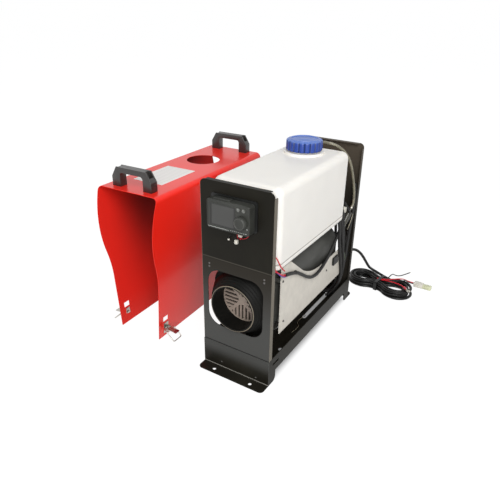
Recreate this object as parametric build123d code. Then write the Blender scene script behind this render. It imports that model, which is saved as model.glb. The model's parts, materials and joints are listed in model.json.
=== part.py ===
from build123d import *
import math
import os

# Diesel air heater in an open sheet-metal frame, with its fuel tank on top and its
# cover lifted off and standing beside it. Millimetres, +Z up, front towards -Y.
# Origin: on the floor, at the centre of the four bolt holes in the feet.

# ---- frame ----
FRAME_WIDTH = 150.0          # across the front, X
FRAME_LENGTH = 395.0         # over the outer faces of the two end panels, Y
PANEL_TOP = 390.5
BASE_HEIGHT = 57.5           # top of the folded base
TRAY_FLOOR = 25.0            # upper face of the tray floor
BASE_SHEET = 1.5
PANEL_SHEET = 1.5
PANEL_FLANGE = 10.0          # depth of the panels' folded edges
PANEL_CORNER = 10.0          # corner radius of the panels
PANEL_TAB = 28.0             # how far a panel reaches down inside the base
FOOT_DEPTH = 24.0
FOOT_CORNER = 9.0
FOOT_HOLE = 7.0
FOOT_HOLE_SPACING = 84.0
FOOT_HOLE_EDGE = 11.0        # hole centre to the foot's outer edge
GUSSET_DEPTH = 26.0
GUSSET_RADIUS = 10.0
CATCH_WIDTH = 23.0           # slots in the rails that the cover's latches hook into
CATCH_HEIGHT = 4.5
CATCH_Z = 42.0
CATCH_INSET = 26.0           # slot centre behind the panel's face
VENT_LENGTH = 150.0          # long slots in the tray floor
VENT_WIDTH = 9.0
VENT_X = 40.0
VENT_Y = 92.0
DRAIN_HOLE = 12.0
DRAIN_X = 54.0
DRAIN_Y = 111.0
SLIP = 0.3                   # small clearance between neighbouring pieces
WINDOW_WIDTH = 121.0         # opening in the front panel for the warm-air outlet
WINDOW_HEIGHT = 120.0
WINDOW_RADIUS = 28.0
WINDOW_X = -2.5
WINDOW_Z = 159.0
FLANGE_SLIT_Z = 243.0
FLANGE_SLIT = 1.0
INTAKE_HOLE = 52.0           # radius of the round opening in the rear panel

# ---- tank and its shelf ----
TANK_BOTTOM = 233.0
TANK_TOP = 388.0
TANK_HALF_WIDTH = 71.0
TANK_FRONT = -172.0
TANK_REAR = 130.0
TANK_WALL = 2.5
TANK_UPRIGHT_RADIUS = 16.0
TANK_TOP_RADIUS = 15.0
TANK_BOTTOM_RADIUS = 8.0
SHELF_SHEET = 1.5
SHELF_HALF_WIDTH = 64.0
SHELF_LIP = 12.0
SHELF_REAR_HALF = 42.0       # the shelf is narrower behind the tank, for the hoses and cables
CAP_X = -6.0
CAP_Y = 64.0
CAP_RADIUS = 37.5
CAP_HEIGHT = 21.0
CAP_WALL = 2.4
CAP_FLUTES = 20
CAP_FLUTE_RADIUS = 1.8
NECK_RADIUS = 31.0
NECK_BORE = 27.0
NECK_HEIGHT = 21.5
SEAL_THICKNESS = 2.0
NECK_CLEAR = 0.6             # cap bore over neck, on the radius
CAP_GAP = 2.5                # cap skirt above the tank's raised ring
NECK_RING = 41.0             # radius of the raised ring round the neck
NECK_RING_HEIGHT = 4.5
PICKUP_X = -6.0
PICKUP_Y = 114.0
PICKUP_RADIUS = 7.0
PICKUP_HOLE = 4.0
HOSE_DIAMETER = 5.5
HOSE_BORE = 3.5
ELBOW_HEIGHT = 14.0

# ---- fuel line ----
FILTER_LOW = (60.0, 150.0, 208.0)
FILTER_HIGH = (66.5, 169.0, 238.0)
FILTER_RADIUS = 7.0
SPIGOT_RADIUS = 2.3
SPIGOT_LENGTH = 8.0
LINE_DIAMETER = 4.6          # filter to pump, and pump to burner
PUMP_LEFT = (-30.0, 166.0, 71.3)
PUMP_RIGHT = (26.0, 166.0, 86.0)
PUMP_RADIUS = 13.0
PUMP_NECK = 7.0
PUMP_NECK_LENGTH = 6.0
PUMP_BORE = 4.0              # radius of the plunger
PUMP_BORE_START = 12.0
PUMP_BORE_LENGTH = 36.0
PUMP_STROKE = 3.0
HOLDER_START = 18.0          # rubber holder's place along the pump
HOLDER_LENGTH = 20.0
HOLDER_WALL = 4.0
FUEL_PORT_X = -14.0
FUEL_PORT_Z = 112.0

# ---- heater ----
HEATER_X = -3.0
HEATER_Z = 152.0
SHELL_WIDTH = 120.0
SHELL_HEIGHT = 128.0
SHELL_RADIUS = 36.0
SHELL_WALL = 2.5
SHELL_FRONT = -150.0
SHELL_REAR = 125.0
MOUTH_RADIUS = 46.5
MOUTH_WALL = 3.0
MOUTH_Y = -205.0
HOOD_SHOULDER_Y = -178.0
HOOD_FLARE = 19.0            # how much wider the cone is at the shoulder, on the radius
HOOD_WIDTH = 116.0
HOOD_HEIGHT = 126.0
HOOD_RADIUS = 30.0
GRILLE_Y = -170.0
GRILLE_THICKNESS = 3.0
GRILLE_RIM = 2.0             # how far the grille laps behind the mouth's wall
GRILLE_SLOTS = 4             # slots on each side of a quadrant's middle one
GRILLE_SLOT = 4.2
GRILLE_PITCH = 8.0
GRILLE_BOSS = 9.0
GRILLE_BAR = 4.5
EXCHANGER_RADIUS = 34.0
EXCHANGER_BORE = 28.0
EXCHANGER_FRONT = -140.0
EXCHANGER_REAR = 8.0
EXCHANGER_FOOT = 34.0
FIN_COUNT = 24
FIN_RADIUS = 49.0
FIN_THICKNESS = 2.0
BURNER_RADIUS = 20.0
BURNER_WALL = 1.5
BURNER_LENGTH = 95.0
PLUG_RADIUS = 4.0
PLUG_Y = -8.0
MOTOR_RADIUS = 24.0
MOTOR_FRONT = 44.0
MOTOR_LENGTH = 40.0
MOTOR_PLATE = 3.0
SHAFT_RADIUS = 3.0
SHAFT_FIT = 0.05             # running clearance of shafts, on the radius
FAN_RADIUS = 50.0
FAN_HUB = 14.0
FAN_BLADES = 9
BLADE_PITCH = 38.0
BLADE_THICKNESS = 1.8
FAN_DEPTH = 18.0
FAN_GAP = 8.0                # motor's back to the fan
IMPELLER_RADIUS = 30.0
IMPELLER_DEPTH = 12.0
IMPELLER_BLADES = 16
IMPELLER_GAP = 6.0
PIPE_RADIUS = 12.0
PIPE_WALL = 1.0
PIPE_END_Z = 6.0
EXHAUST_Y = -50.0
INTAKE_Y = -8.0
STAND_SHEET = 2.0
STAND_HALF_WIDTH = 22.0
STAND_FOOT = 10.0
STAND_DEPTH = 28.0
STAND_PLACES = (-108.0, 66.0)
SHIELD_X = 65.0
SHIELD_SHEET = 2.0
SHIELD_FRONT = -148.0
SHIELD_REAR = 146.0
SHIELD_BOTTOM = 90.0
SHIELD_LEVEL = 160.0
SCREW_RADIUS = 3.0
SCREW_HEAD = 1.6
BOSS_RADIUS = 5.0
GUARD_SHEET = 3.0
GUARD_SLOT = 6.0
GUARD_PITCH = 11.0

# ---- controller ----
BOX_X = -4.0
BOX_Z = 339.0
BOX_WIDTH = 86.0
BOX_HEIGHT = 53.0
BOX_DEPTH = 16.5
BOX_WALL = 2.0
BRACKET_WIDTH = 94.0
BRACKET_HEIGHT = 56.0
BRACKET_SHEET = 2.5
CABLE_HOLE = 6.0             # radius, for the controller's cable
SCREEN_WIDTH = 51.0
SCREEN_HEIGHT = 40.0
SCREEN_X = -14.5
SCREEN_THICKNESS = 1.2
KNOB_X = 24.0
KNOB_Z = 335.5
KNOB_RADIUS = 11.5
KNOB_HEIGHT = 8.0
KNOB_TRAVEL = 0.8
KNOB_GAP = KNOB_TRAVEL + 0.4
KNOB_RIBS = 30
BUTTON_RADIUS = 3.4
BUTTON_TRAVEL = 0.8
BUTTON_PROUD = BUTTON_TRAVEL + 0.8
BUTTON_FIT = 0.1
BUTTON_Z = 357.0
POWER_X = 28.0
SET_X = 17.5

# ---- wiring ----
LOOM_DIAMETER = 6.5
LEAD_DIAMETER = 7.0
WIRE_DIAMETER = 2.6
WIRE_SPREAD = 1.45           # each of the four wires' offset from the sheath's middle
POLE_SPACING = 5.0
GLAND_X = 62.0
GLAND_Z = 120.0
GLAND_RADIUS = 6.0
GLAND_HEAD = 8.0
GLAND_INNER = 5.0            # how far the gland reaches inside the panel
PUMP_PLUG = (62.0, 149.0, 250.0)
RING_WIRE_END = (193.5, 275.0, 27.2)
RING_HEADING = (17.5, -11.5, -2.4)
RING_CRIMP = 9.0
CONNECTOR_START = (200.0, 350.0)
HANK_X = 124.0
HANK_Y = 290.0
HANK_ANGLE = -9.4
HANK_REACH = 50.0            # middle of the hank to the centre of its end loops
HANK_OUTER = 36.5            # outermost strand's offset in the loops
HANK_STEP = 8.8              # strand to strand
HANK_DRAWN = 13.5            # how much the strands are drawn in at the waist
HANK_LAYER = 7.6
HANK_TAIL = 9.0              # where the sheath ends, short of the waist
HANK_TURNS = 4               # end turns in each layer
HANK_SHORTER = (0.0, 5.0, 2.0)   # how much less far out each layer's end turns lie
TIE_THICKNESS = 1.2
TIE_WIDTH = 8.0
TIE_CORNER = 4.0
CONNECTOR_LENGTH = 44.0
CONNECTOR_WIDTH = 16.0
CONNECTOR_HEIGHT = 12.0

# ---- cover ----
COVER_X = -260.1
COVER_Y = -3.1
COVER_TURN = 1.8             # the cover stands a little askew beside the frame
COVER_LENGTH = 392.0
COVER_HEIGHT = 330.0
COVER_TOP_HALF = 76.5
COVER_FOOT_HALF = 53.7       # the walls spring inwards when the cover is off
COVER_SHEET = 1.2
COVER_RADIUS = 10.0
COVER_BULGE = 16.0
BULGE_START = 125.0
BULGE_PEAK = 245.0
CAP_HOLE_RADIUS = 38.7
CAP_HOLE_X = -6.0
CAP_HOLE_Y = 70.0
HANDLE_LENGTH = 100.0
HANDLE_WIDTH = 18.0
HANDLE_HEIGHT = 40.0
HANDLE_SHOULDER = 20.0       # height where the end slopes begin
HANDLE_SLOPE = 12.0
HANDLE_FOOT = 21.0
HANDLE_BAR = 11.0
HANDLE_PLACES = (-172.0, 181.0)
HANDLE_SCREW_INSET = 10.5
HANDLE_SCREW = 3.2           # radii of the screws' shanks and heads
HANDLE_SCREW_HEAD = 4.8
POCKET_FLOOR = 10.0
LATCH_SLOT_WIDTH = 16.0
LATCH_SLOT_HEIGHT = 12.0
LATCH_SLOT_Z = 44.0
LATCH_Y = -174.0
LATCH_Z = 20.0               # height of the lever's pin
LATCH_WIDTH = 15.0
LATCH_PIN = 1.25
PIN_OUT = 6.0                # lever pin's distance from the wall
LEVER_LENGTH = 25.0
LEVER_SHEET = 1.6
BAIL_WIRE = 1.1
BAIL_WIDTH = 28.0
BAIL_LENGTH = 26.0
BAIL_OFFSET = 7.0            # bail's pivot along the lever
BAIL_TILT = 51.0             # how far the hanging loop rests out from straight down

HALF_WIDTH = FRAME_WIDTH / 2
HALF_LENGTH = FRAME_LENGTH / 2
BASE_FACE = HALF_LENGTH + BASE_SHEET
FOOT_EDGE = BASE_FACE + FOOT_DEPTH
FRONT_FACE = -HALF_LENGTH
BRACKET_FACE = FRONT_FACE - BRACKET_SHEET
BOX_FACE = BRACKET_FACE - BOX_DEPTH
HANK_LOW = TIE_THICKNESS + 0.2 + LEAD_DIAMETER / 2
HANK_RUNS = HANK_TURNS * len(HANK_SHORTER)
HANK_HIGH = HANK_LOW + HANK_LAYER * (len(HANK_SHORTER) - 1)
COVER_PLACE = Pos(COVER_X, COVER_Y, 0) * Rot(0, 0, COVER_TURN)


# ---- helpers ----
def block(x0, x1, y0, y1, z0, z1):
    """A block between two corners."""
    return Pos((x0 + x1) / 2, (y0 + y1) / 2, (z0 + z1) / 2) * Box(x1 - x0, y1 - y0, z1 - z0)


def rod(radius, start, end):
    """A round bar from one point to another."""
    axis = Vector(*end) - Vector(*start)
    return extrude(Plane(origin=start, z_dir=axis) * Circle(radius), axis.length)


def pipe(radius, bore, start, end):
    """A round tube from one point to another."""
    axis = Vector(*end) - Vector(*start)
    ring = Circle(radius) - Circle(bore)
    return extrude(Plane(origin=start, z_dir=axis) * ring, axis.length)


def front_slab(sketch, front, back):
    """A sketch drawn in X and Z, made solid between two Y planes."""
    plane = Plane(origin=(0, back, 0), x_dir=(1, 0, 0), z_dir=(0, -1, 0))
    return extrude(plane * sketch, back - front, dir=plane.z_dir)


def side_slab(sketch, left, right):
    """A sketch drawn in Y and Z, made solid between two X planes."""
    plane = Plane(origin=(left, 0, 0), x_dir=(0, 1, 0), z_dir=(1, 0, 0))
    return extrude(plane * sketch, right - left, dir=plane.z_dir)


def rounded(width, height, radius, x=0.0, z=0.0):
    """A rounded rectangle about a point."""
    return Pos(x, z) * RectangleRounded(width, height, radius)


def smooth_path(points, name):
    """Straight runs joined by tangent arcs, each as large as its two runs allow."""
    corners = [Vector(*point) for point in points]
    radii = []
    for before, here, after in zip(corners, corners[1:], corners[2:]):
        turn = math.radians((here - before).get_angle(after - here))
        shorter = min((here - before).length, (after - here).length)
        radii.append(0.45 * shorter / math.tan(turn / 2))
    print(name, "least radius %.1f of" % min(radii), [round(r) for r in radii])
    return FilletPolyline(*corners, radius=radii)


def tube(points, diameter, name, bore=0.0):
    """A cord or hose along a route."""
    path = smooth_path(points, name)
    section = Circle(diameter / 2)
    area = math.pi * (diameter ** 2 - bore ** 2) / 4
    if bore:
        section = section - Circle(bore / 2)
    solid = sweep(Plane(origin=path @ 0, z_dir=path % 0) * section, path)
    print(name, "length %.0f, volume ratio %.4f" % (path.length, solid.volume / (area * path.length)))
    return solid


def save(shape, node):
    """One file for one sub-part."""
    shape.label = node
    export_step(shape, "parts/%s.step" % node)


# ---- frame ----
def base_tray():
    """Folded base: floor, side rails, end plates, corner gussets and feet."""
    inner = HALF_WIDTH - BASE_SHEET
    tray = block(-HALF_WIDTH, HALF_WIDTH, -HALF_LENGTH, HALF_LENGTH, TRAY_FLOOR - BASE_SHEET, TRAY_FLOOR)
    for side in (-1, 1):
        x0, x1 = sorted((side * inner, side * HALF_WIDTH))
        tray += block(x0, x1, -HALF_LENGTH, HALF_LENGTH, TRAY_FLOOR - BASE_SHEET, BASE_HEIGHT)
        for end in (-1, 1):
            y0, y1 = sorted((end * HALF_LENGTH, end * (HALF_LENGTH - GUSSET_DEPTH)))
            gusset = block(x0, x1, y0, y1, 0, TRAY_FLOOR)
            low_edges = gusset.edges().filter_by(Axis.X).sort_by(Axis.Z)[:2]
            heel = low_edges.sort_by(lambda edge: abs(edge.center().Y))[0]
            tray += fillet(heel, GUSSET_RADIUS)
    for end in (-1, 1):
        y0, y1 = sorted((end * HALF_LENGTH, end * BASE_FACE))
        tray += block(-HALF_WIDTH, HALF_WIDTH, y0, y1, 0, BASE_HEIGHT)
        y0, y1 = sorted((end * BASE_FACE, end * FOOT_EDGE))
        foot = block(-HALF_WIDTH, HALF_WIDTH, y0, y1, 0, BASE_SHEET)
        tips = foot.edges().filter_by(Axis.Z).sort_by(lambda e: -end * e.center().Y)[:2]
        tray += fillet(tips, FOOT_CORNER)
        for side in (-1, 1):
            x, y = side * FOOT_HOLE_SPACING / 2, end * (FOOT_EDGE - FOOT_HOLE_EDGE)
            tray -= rod(FOOT_HOLE / 2, (x, y, -1), (x, y, BASE_SHEET + 1))
    catch_y = FRONT_FACE + CATCH_INSET
    tray -= block(-HALF_WIDTH - 1, HALF_WIDTH + 1, catch_y - CATCH_WIDTH / 2, catch_y + CATCH_WIDTH / 2,
                  CATCH_Z - CATCH_HEIGHT / 2, CATCH_Z + CATCH_HEIGHT / 2)
    return tray - tray_holes()


def tray_holes():
    """What is cut out of the tray floor: pipe holes, long slots and drain holes."""
    low, high = TRAY_FLOOR - BASE_SHEET - 1, TRAY_FLOOR + 1
    holes = []
    for y in (EXHAUST_Y, INTAKE_Y):
        holes.append(rod(PIPE_RADIUS + 2, (HEATER_X, y, low), (HEATER_X, y, high)))
    for side in (-1, 1):
        slot = Pos(side * VENT_X, VENT_Y) * Rot(0, 0, 90) * SlotOverall(VENT_LENGTH, VENT_WIDTH)
        holes.append(extrude(Pos(0, 0, low) * slot, high - low))
        holes.append(rod(DRAIN_HOLE / 2, (side * DRAIN_X, -DRAIN_Y, low), (side * DRAIN_X, -DRAIN_Y, high)))
    return holes


def end_panel():
    """The plate, folded edges and lower tab that both end panels share, facing -Y."""
    back = FRONT_FACE + PANEL_SHEET
    fold = FRONT_FACE + PANEL_FLANGE
    middle = (BASE_HEIGHT + PANEL_TOP) / 2
    face = Pos(0, middle) * Rectangle(FRAME_WIDTH, PANEL_TOP - BASE_HEIGHT)
    face = fillet(face.vertices().sort_by(Axis.Y)[-2:], PANEL_CORNER)
    panel = front_slab(face, FRONT_FACE, back)
    tab = HALF_WIDTH - BASE_SHEET - SLIP
    panel += block(-tab, tab, FRONT_FACE, back, BASE_HEIGHT - PANEL_TAB, BASE_HEIGHT)
    for side in (-1, 1):
        x0, x1 = sorted((side * (HALF_WIDTH - PANEL_SHEET), side * HALF_WIDTH))
        panel += block(x0, x1, FRONT_FACE, fold, BASE_HEIGHT + SLIP, PANEL_TOP - PANEL_CORNER)
        slit = FLANGE_SLIT / 2
        panel -= block(x0, x1, back, fold, FLANGE_SLIT_Z - slit, FLANGE_SLIT_Z + slit)
    reach = HALF_WIDTH - PANEL_CORNER
    panel += block(-reach, reach, FRONT_FACE, fold, PANEL_TOP - PANEL_SHEET, PANEL_TOP)
    return panel


def front_panel():
    """Front panel with the outlet window and the controller's cable hole."""
    window = rounded(WINDOW_WIDTH, WINDOW_HEIGHT, WINDOW_RADIUS, WINDOW_X, WINDOW_Z)
    panel = end_panel() - front_slab(window, FRONT_FACE - 1, FRONT_FACE + PANEL_SHEET + 1)
    cable = Pos(BOX_X, BOX_Z) * Circle(CABLE_HOLE)
    return panel - front_slab(cable, FRONT_FACE - 1, FRONT_FACE + PANEL_SHEET + 1)


def rear_panel():
    """Rear panel with the air-intake opening and the power lead's hole."""
    panel = Rot(0, 0, 180) * end_panel()
    near, far = HALF_LENGTH - 2 * PANEL_SHEET, HALF_LENGTH + PANEL_SHEET
    panel -= rod(INTAKE_HOLE, (HEATER_X, near, HEATER_Z), (HEATER_X, far, HEATER_Z))
    return panel - rod(GLAND_RADIUS, (GLAND_X, near, GLAND_Z), (GLAND_X, far, GLAND_Z))


def tank_shelf():
    """Shelf under the tank, with a lip riveted to each end panel."""
    reach = HALF_LENGTH - PANEL_SHEET
    top = TANK_BOTTOM
    shelf = block(-SHELF_HALF_WIDTH, SHELF_HALF_WIDTH, -reach, reach, top - SHELF_SHEET, top)
    for end in (-1, 1):
        y0, y1 = sorted((end * reach, end * (reach - SHELF_SHEET)))
        shelf += block(-SHELF_HALF_WIDTH, SHELF_HALF_WIDTH, y0, y1, top - SHELF_LIP, top)
    for side in (-1, 1):
        x0, x1 = sorted((side * SHELF_REAR_HALF, side * (SHELF_HALF_WIDTH + 1)))
        shelf -= block(x0, x1, TANK_REAR, reach, top - SHELF_LIP, top)
    return shelf


def frame_fasteners():
    """Rivets of the shelf's lips and screws of the heat shield."""
    pieces = []
    for end in (-1, 1):
        for side in (-1, 1):
            for z in (TANK_BOTTOM - 4, TANK_BOTTOM - 10.0):
                x = side * ((SHELF_HALF_WIDTH if end < 0 else SHELF_REAR_HALF) - 5)
                face, back = end * HALF_LENGTH, end * (HALF_LENGTH + 1.0)
                pieces.append(rod(2.2, (x, face, z), (x, back, z)))
    face = SHIELD_X + SHIELD_SHEET
    for y, z in shield_screw_places():
        pieces.append(rod(SCREW_RADIUS, (face, y, z), (face + SCREW_HEAD, y, z)))
    return pieces


def shield_screw_places():
    """Where the shield's three screws are, in Y and Z."""
    return ((-142.0, 203.0), (-134.0, 112.0), (62.0, 135.0))


# ---- tank ----
def tank_block(grow):
    """The tank's rounded outer form, made smaller all round by -grow."""
    form = block(-TANK_HALF_WIDTH - grow, TANK_HALF_WIDTH + grow, TANK_FRONT - grow, TANK_REAR + grow,
                 TANK_BOTTOM - grow, TANK_TOP + grow)
    form = fillet(form.edges().filter_by(Axis.Z), TANK_UPRIGHT_RADIUS + grow)
    form = fillet(form.faces().sort_by(Axis.Z)[-1].edges(), TANK_TOP_RADIUS + grow)
    return fillet(form.faces().sort_by(Axis.Z)[0].edges(), TANK_BOTTOM_RADIUS + grow)


def fuel_tank():
    """Blow-moulded tank with its filler neck and the pickup's hole."""
    tank = tank_block(0)
    tank += rod(NECK_RING, (CAP_X, CAP_Y, TANK_TOP - 1), (CAP_X, CAP_Y, TANK_TOP + NECK_RING_HEIGHT))
    tank += rod(NECK_RADIUS, (CAP_X, CAP_Y, TANK_TOP - 1), (CAP_X, CAP_Y, TANK_TOP + NECK_HEIGHT))
    tank -= tank_block(-TANK_WALL)
    under = TANK_TOP - 4 * TANK_WALL
    tank -= rod(NECK_BORE, (CAP_X, CAP_Y, under), (CAP_X, CAP_Y, TANK_TOP + NECK_HEIGHT + 1))
    return tank - rod(PICKUP_HOLE, (PICKUP_X, PICKUP_Y, under), (PICKUP_X, PICKUP_Y, TANK_TOP + 1))


def tank_cap():
    """Screw cap with a fluted skirt and a raised ring on top."""
    low = TANK_TOP + NECK_RING_HEIGHT + CAP_GAP
    high = low + CAP_HEIGHT
    cap = rod(CAP_RADIUS, (CAP_X, CAP_Y, low), (CAP_X, CAP_Y, high))
    cap = fillet(cap.edges().filter_by(GeomType.CIRCLE).sort_by(Axis.Z)[-1], 2.5)
    ceiling = TANK_TOP + NECK_HEIGHT + SEAL_THICKNESS
    cap -= rod(NECK_RADIUS + NECK_CLEAR, (CAP_X, CAP_Y, low - 1), (CAP_X, CAP_Y, ceiling))
    flutes = []
    for turn in range(CAP_FLUTES):
        angle = 2 * math.pi * turn / CAP_FLUTES
        x = CAP_X + (CAP_RADIUS + 0.7) * math.cos(angle)
        y = CAP_Y + (CAP_RADIUS + 0.7) * math.sin(angle)
        flutes.append(rod(CAP_FLUTE_RADIUS, (x, y, low - 1), (x, y, high - 4)))
    cap -= flutes
    rim = CAP_RADIUS - 8
    return cap + pipe(rim, rim - CAP_WALL, (CAP_X, CAP_Y, high), (CAP_X, CAP_Y, high + 1.2))


def cap_seal():
    """Flat gasket between the neck and the cap."""
    low = TANK_TOP + NECK_HEIGHT
    return pipe(NECK_RADIUS, NECK_BORE, (CAP_X, CAP_Y, low), (CAP_X, CAP_Y, low + SEAL_THICKNESS))


def hose_start():
    """Where the fuel hose leaves the pickup's elbow."""
    return (PICKUP_X + PICKUP_RADIUS + 3, PICKUP_Y, TANK_TOP + ELBOW_HEIGHT)


def fuel_pickup():
    """Pickup: a nut on the tank, an elbow for the hose and a dip tube inside."""
    x, y = PICKUP_X, PICKUP_Y
    bend = TANK_TOP + ELBOW_HEIGHT
    nut = extrude(Pos(x, y, TANK_TOP) * RegularPolygon(PICKUP_RADIUS, 6), 5)
    pickup = nut + rod(3, (x, y, TANK_TOP + 4), (x, y, bend)) + Pos(x, y, bend) * Sphere(3)
    pickup += rod(3, (x, y, bend), hose_start())
    return pickup + rod(2, (x, y, TANK_BOTTOM + TANK_WALL + 6), (x, y, TANK_TOP + 1))


# ---- fuel line ----
def along(start, end, distance):
    """A point on the line from start to end, measured from start."""
    a, b = Vector(*start), Vector(*end)
    return tuple(a + (b - a).normalized() * distance)


def fuel_hose():
    """Hose from the tank's pickup, over its rear edge and down to the filter."""
    end = along(FILTER_HIGH, FILTER_LOW, -SPIGOT_LENGTH)
    x, y, z = hose_start()
    before = along(FILTER_HIGH, FILTER_LOW, -SPIGOT_LENGTH - 11)
    route = [(x, y, z), (x + 13, y, z), (30.5, TANK_REAR - 12.5, TANK_TOP + 13),
             (43.5, TANK_REAR - 6, TANK_TOP + 7.5)]
    gap = HALF_LENGTH - TANK_REAR
    for x, share, drop in ((55, 0.06, 4), (62, 0.22, 20), (66.2, 0.385, 42), (68.4, 0.54, 68),
                           (69.8, 0.67, 94), (70.3, 0.74, 117)):
        route.append((x, TANK_REAR + share * gap, TANK_TOP - drop))
    route += [before, end]
    return tube(route, HOSE_DIAMETER, "fuel_hose", HOSE_BORE)


def fuel_filter():
    """In-line filter with a spigot at each end."""
    body = rod(FILTER_RADIUS, FILTER_LOW, FILTER_HIGH)
    body += rod(SPIGOT_RADIUS, FILTER_HIGH, along(FILTER_HIGH, FILTER_LOW, -SPIGOT_LENGTH))
    return body + rod(SPIGOT_RADIUS, FILTER_LOW, along(FILTER_LOW, FILTER_HIGH, -SPIGOT_LENGTH))


def on_pump(distance):
    """A point on the pump's axis, measured from its left end."""
    return along(PUMP_LEFT, PUMP_RIGHT, distance)


def pump_spigot(start, end, further=0.0):
    """The tip of the spigot at one end of the pump, or a point beyond it."""
    return along(start, end, -PUMP_NECK_LENGTH - SPIGOT_LENGTH - further)


def fuel_pump():
    """Metering pump with a spigot at each end and a bore for its plunger."""
    body = rod(PUMP_RADIUS, PUMP_LEFT, PUMP_RIGHT)
    for start, end in ((PUMP_LEFT, PUMP_RIGHT), (PUMP_RIGHT, PUMP_LEFT)):
        neck = along(start, end, -PUMP_NECK_LENGTH)
        body += rod(PUMP_NECK, start, neck)
        body += rod(SPIGOT_RADIUS, neck, pump_spigot(start, end))
    bore_end = PUMP_BORE_START + PUMP_BORE_LENGTH
    return body - rod(PUMP_BORE + SHAFT_FIT, on_pump(PUMP_BORE_START), on_pump(bore_end))


def pump_plunger():
    """Plunger inside the pump, at the left end of its stroke."""
    start = PUMP_BORE_START + SLIP
    end = PUMP_BORE_START + PUMP_BORE_LENGTH - PUMP_STROKE - 2 * SLIP
    return rod(PUMP_BORE, on_pump(start), on_pump(end))


def pump_holder():
    """Rubber clamp that hangs the pump from the rear panel."""
    start, end = on_pump(HOLDER_START), on_pump(HOLDER_START + HOLDER_LENGTH)
    wall = HALF_LENGTH - PANEL_SHEET
    middle = (start[2] + end[2]) / 2
    reach = PUMP_RADIUS - HOLDER_WALL
    arm = block(start[0] + 2, end[0] - 2, PUMP_LEFT[1], wall, middle - reach, middle + reach)
    holder = rod(PUMP_RADIUS + HOLDER_WALL, start, end) + arm
    return holder - rod(PUMP_RADIUS, on_pump(HOLDER_START - 9), on_pump(HOLDER_START + HOLDER_LENGTH + 9))


def fuel_lines():
    """Filter to pump, and pump to burner."""
    start = along(FILTER_LOW, FILTER_HIGH, -SPIGOT_LENGTH)
    after = along(FILTER_LOW, FILTER_HIGH, -2 * SPIGOT_LENGTH)
    before = pump_spigot(PUMP_RIGHT, PUMP_LEFT, 11)
    supply = tube([start, after, (57.6, 139.7, 185.5), (59, 142.5, 174.5), (61.5, 148, 161.5),
                   (66, 154, 147.5), (69.5, 159, 133), (68.5, 164.5, 118), (62, 166.3, 104.5), before,
                   pump_spigot(PUMP_RIGHT, PUMP_LEFT)], LINE_DIAMETER, "supply_line")
    start = pump_spigot(PUMP_LEFT, PUMP_RIGHT)
    after = pump_spigot(PUMP_LEFT, PUMP_RIGHT, 10)
    port = SHELL_REAR + GUARD_SHEET + SLIP
    delivery = tube([start, after, (-63.8, 166, 69.6), (-70.3, 166, 79.6), (-70.8, 165.6, 93),
                     (-66, 164.5, 104.5), (-56.5, 162.5, 112.5), (-43, 158.5, 114.5),
                     (-29.1, 153.1, 112.5), (-18, 145.2, FUEL_PORT_Z),
                     (FUEL_PORT_X, port + 8.7, FUEL_PORT_Z), (FUEL_PORT_X, port, FUEL_PORT_Z)],
                    LINE_DIAMETER, "delivery_line")
    return [supply, delivery]


# ---- heater ----
def shell_form(wall):
    """The heater's rounded casing outline, drawn in by a wall."""
    return rounded(SHELL_WIDTH - 2 * wall, SHELL_HEIGHT - 2 * wall, SHELL_RADIUS - wall, HEATER_X, HEATER_Z)


def heater_shell(upper):
    """One half of the casing, split at the heater's axis."""
    shell = front_slab(shell_form(0) - shell_form(SHELL_WALL), SHELL_FRONT, SHELL_REAR)
    half = SHELL_HEIGHT / 2 + 1
    for y, z in shield_screw_places():
        boss = rod(BOSS_RADIUS, (HEATER_X, y, z), (SHIELD_X, y, z))
        shell += boss - front_slab(shell_form(SHELL_WALL / 2), y - 2 * BOSS_RADIUS, y + 2 * BOSS_RADIUS)
    z0, z1 = (HEATER_Z, HEATER_Z + half) if upper else (HEATER_Z - half, HEATER_Z)
    shell = shell & block(HEATER_X - SHELL_WIDTH, HEATER_X + SHELL_WIDTH, SHELL_FRONT, SHELL_REAR, z0, z1)
    floor = HEATER_Z - SHELL_HEIGHT / 2
    for y in (EXHAUST_Y, INTAKE_Y):
        shell -= rod(PIPE_RADIUS, (HEATER_X, y, floor - 1), (HEATER_X, y, floor + SHELL_WALL + 1))
    return shell


def outlet_nozzle():
    """Moulded hood that narrows from the casing to the round warm-air mouth."""
    outline = rounded(HOOD_WIDTH, HOOD_HEIGHT, HOOD_RADIUS, HEATER_X, HEATER_Z)
    depth = HOOD_SHOULDER_Y - MOUTH_Y
    standing = (Align.CENTER, Align.CENTER, Align.MIN)
    cone = Cone(MOUTH_RADIUS, MOUTH_RADIUS + HOOD_FLARE, depth, align=standing)
    cone = Pos(HEATER_X, MOUTH_Y, HEATER_Z) * Rot(-90, 0, 0) * cone
    hood = cone & front_slab(outline, MOUTH_Y, HOOD_SHOULDER_Y)
    hood += front_slab(outline, HOOD_SHOULDER_Y, SHELL_FRONT)
    bore = MOUTH_RADIUS - MOUTH_WALL
    hood -= rod(bore, (HEATER_X, MOUTH_Y - 1, HEATER_Z), (HEATER_X, GRILLE_Y + 1, HEATER_Z))
    wall = SHELL_WALL
    inside = rounded(HOOD_WIDTH - 2 * wall, HOOD_HEIGHT - 2 * wall, HOOD_RADIUS - wall, HEATER_X, HEATER_Z)
    return hood - front_slab(inside, GRILLE_Y, SHELL_FRONT + 1)


def quadrant(side):
    """A quarter of a disc about the local X axis, as a triangle that reaches past the rim."""
    far = MOUTH_RADIUS * 1.5
    inner = GRILLE_BAR
    return Rot(0, 0, 90 * side) * Polygon((inner, 0), (far + inner, -far), (far + inner, far), align=None)


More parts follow.
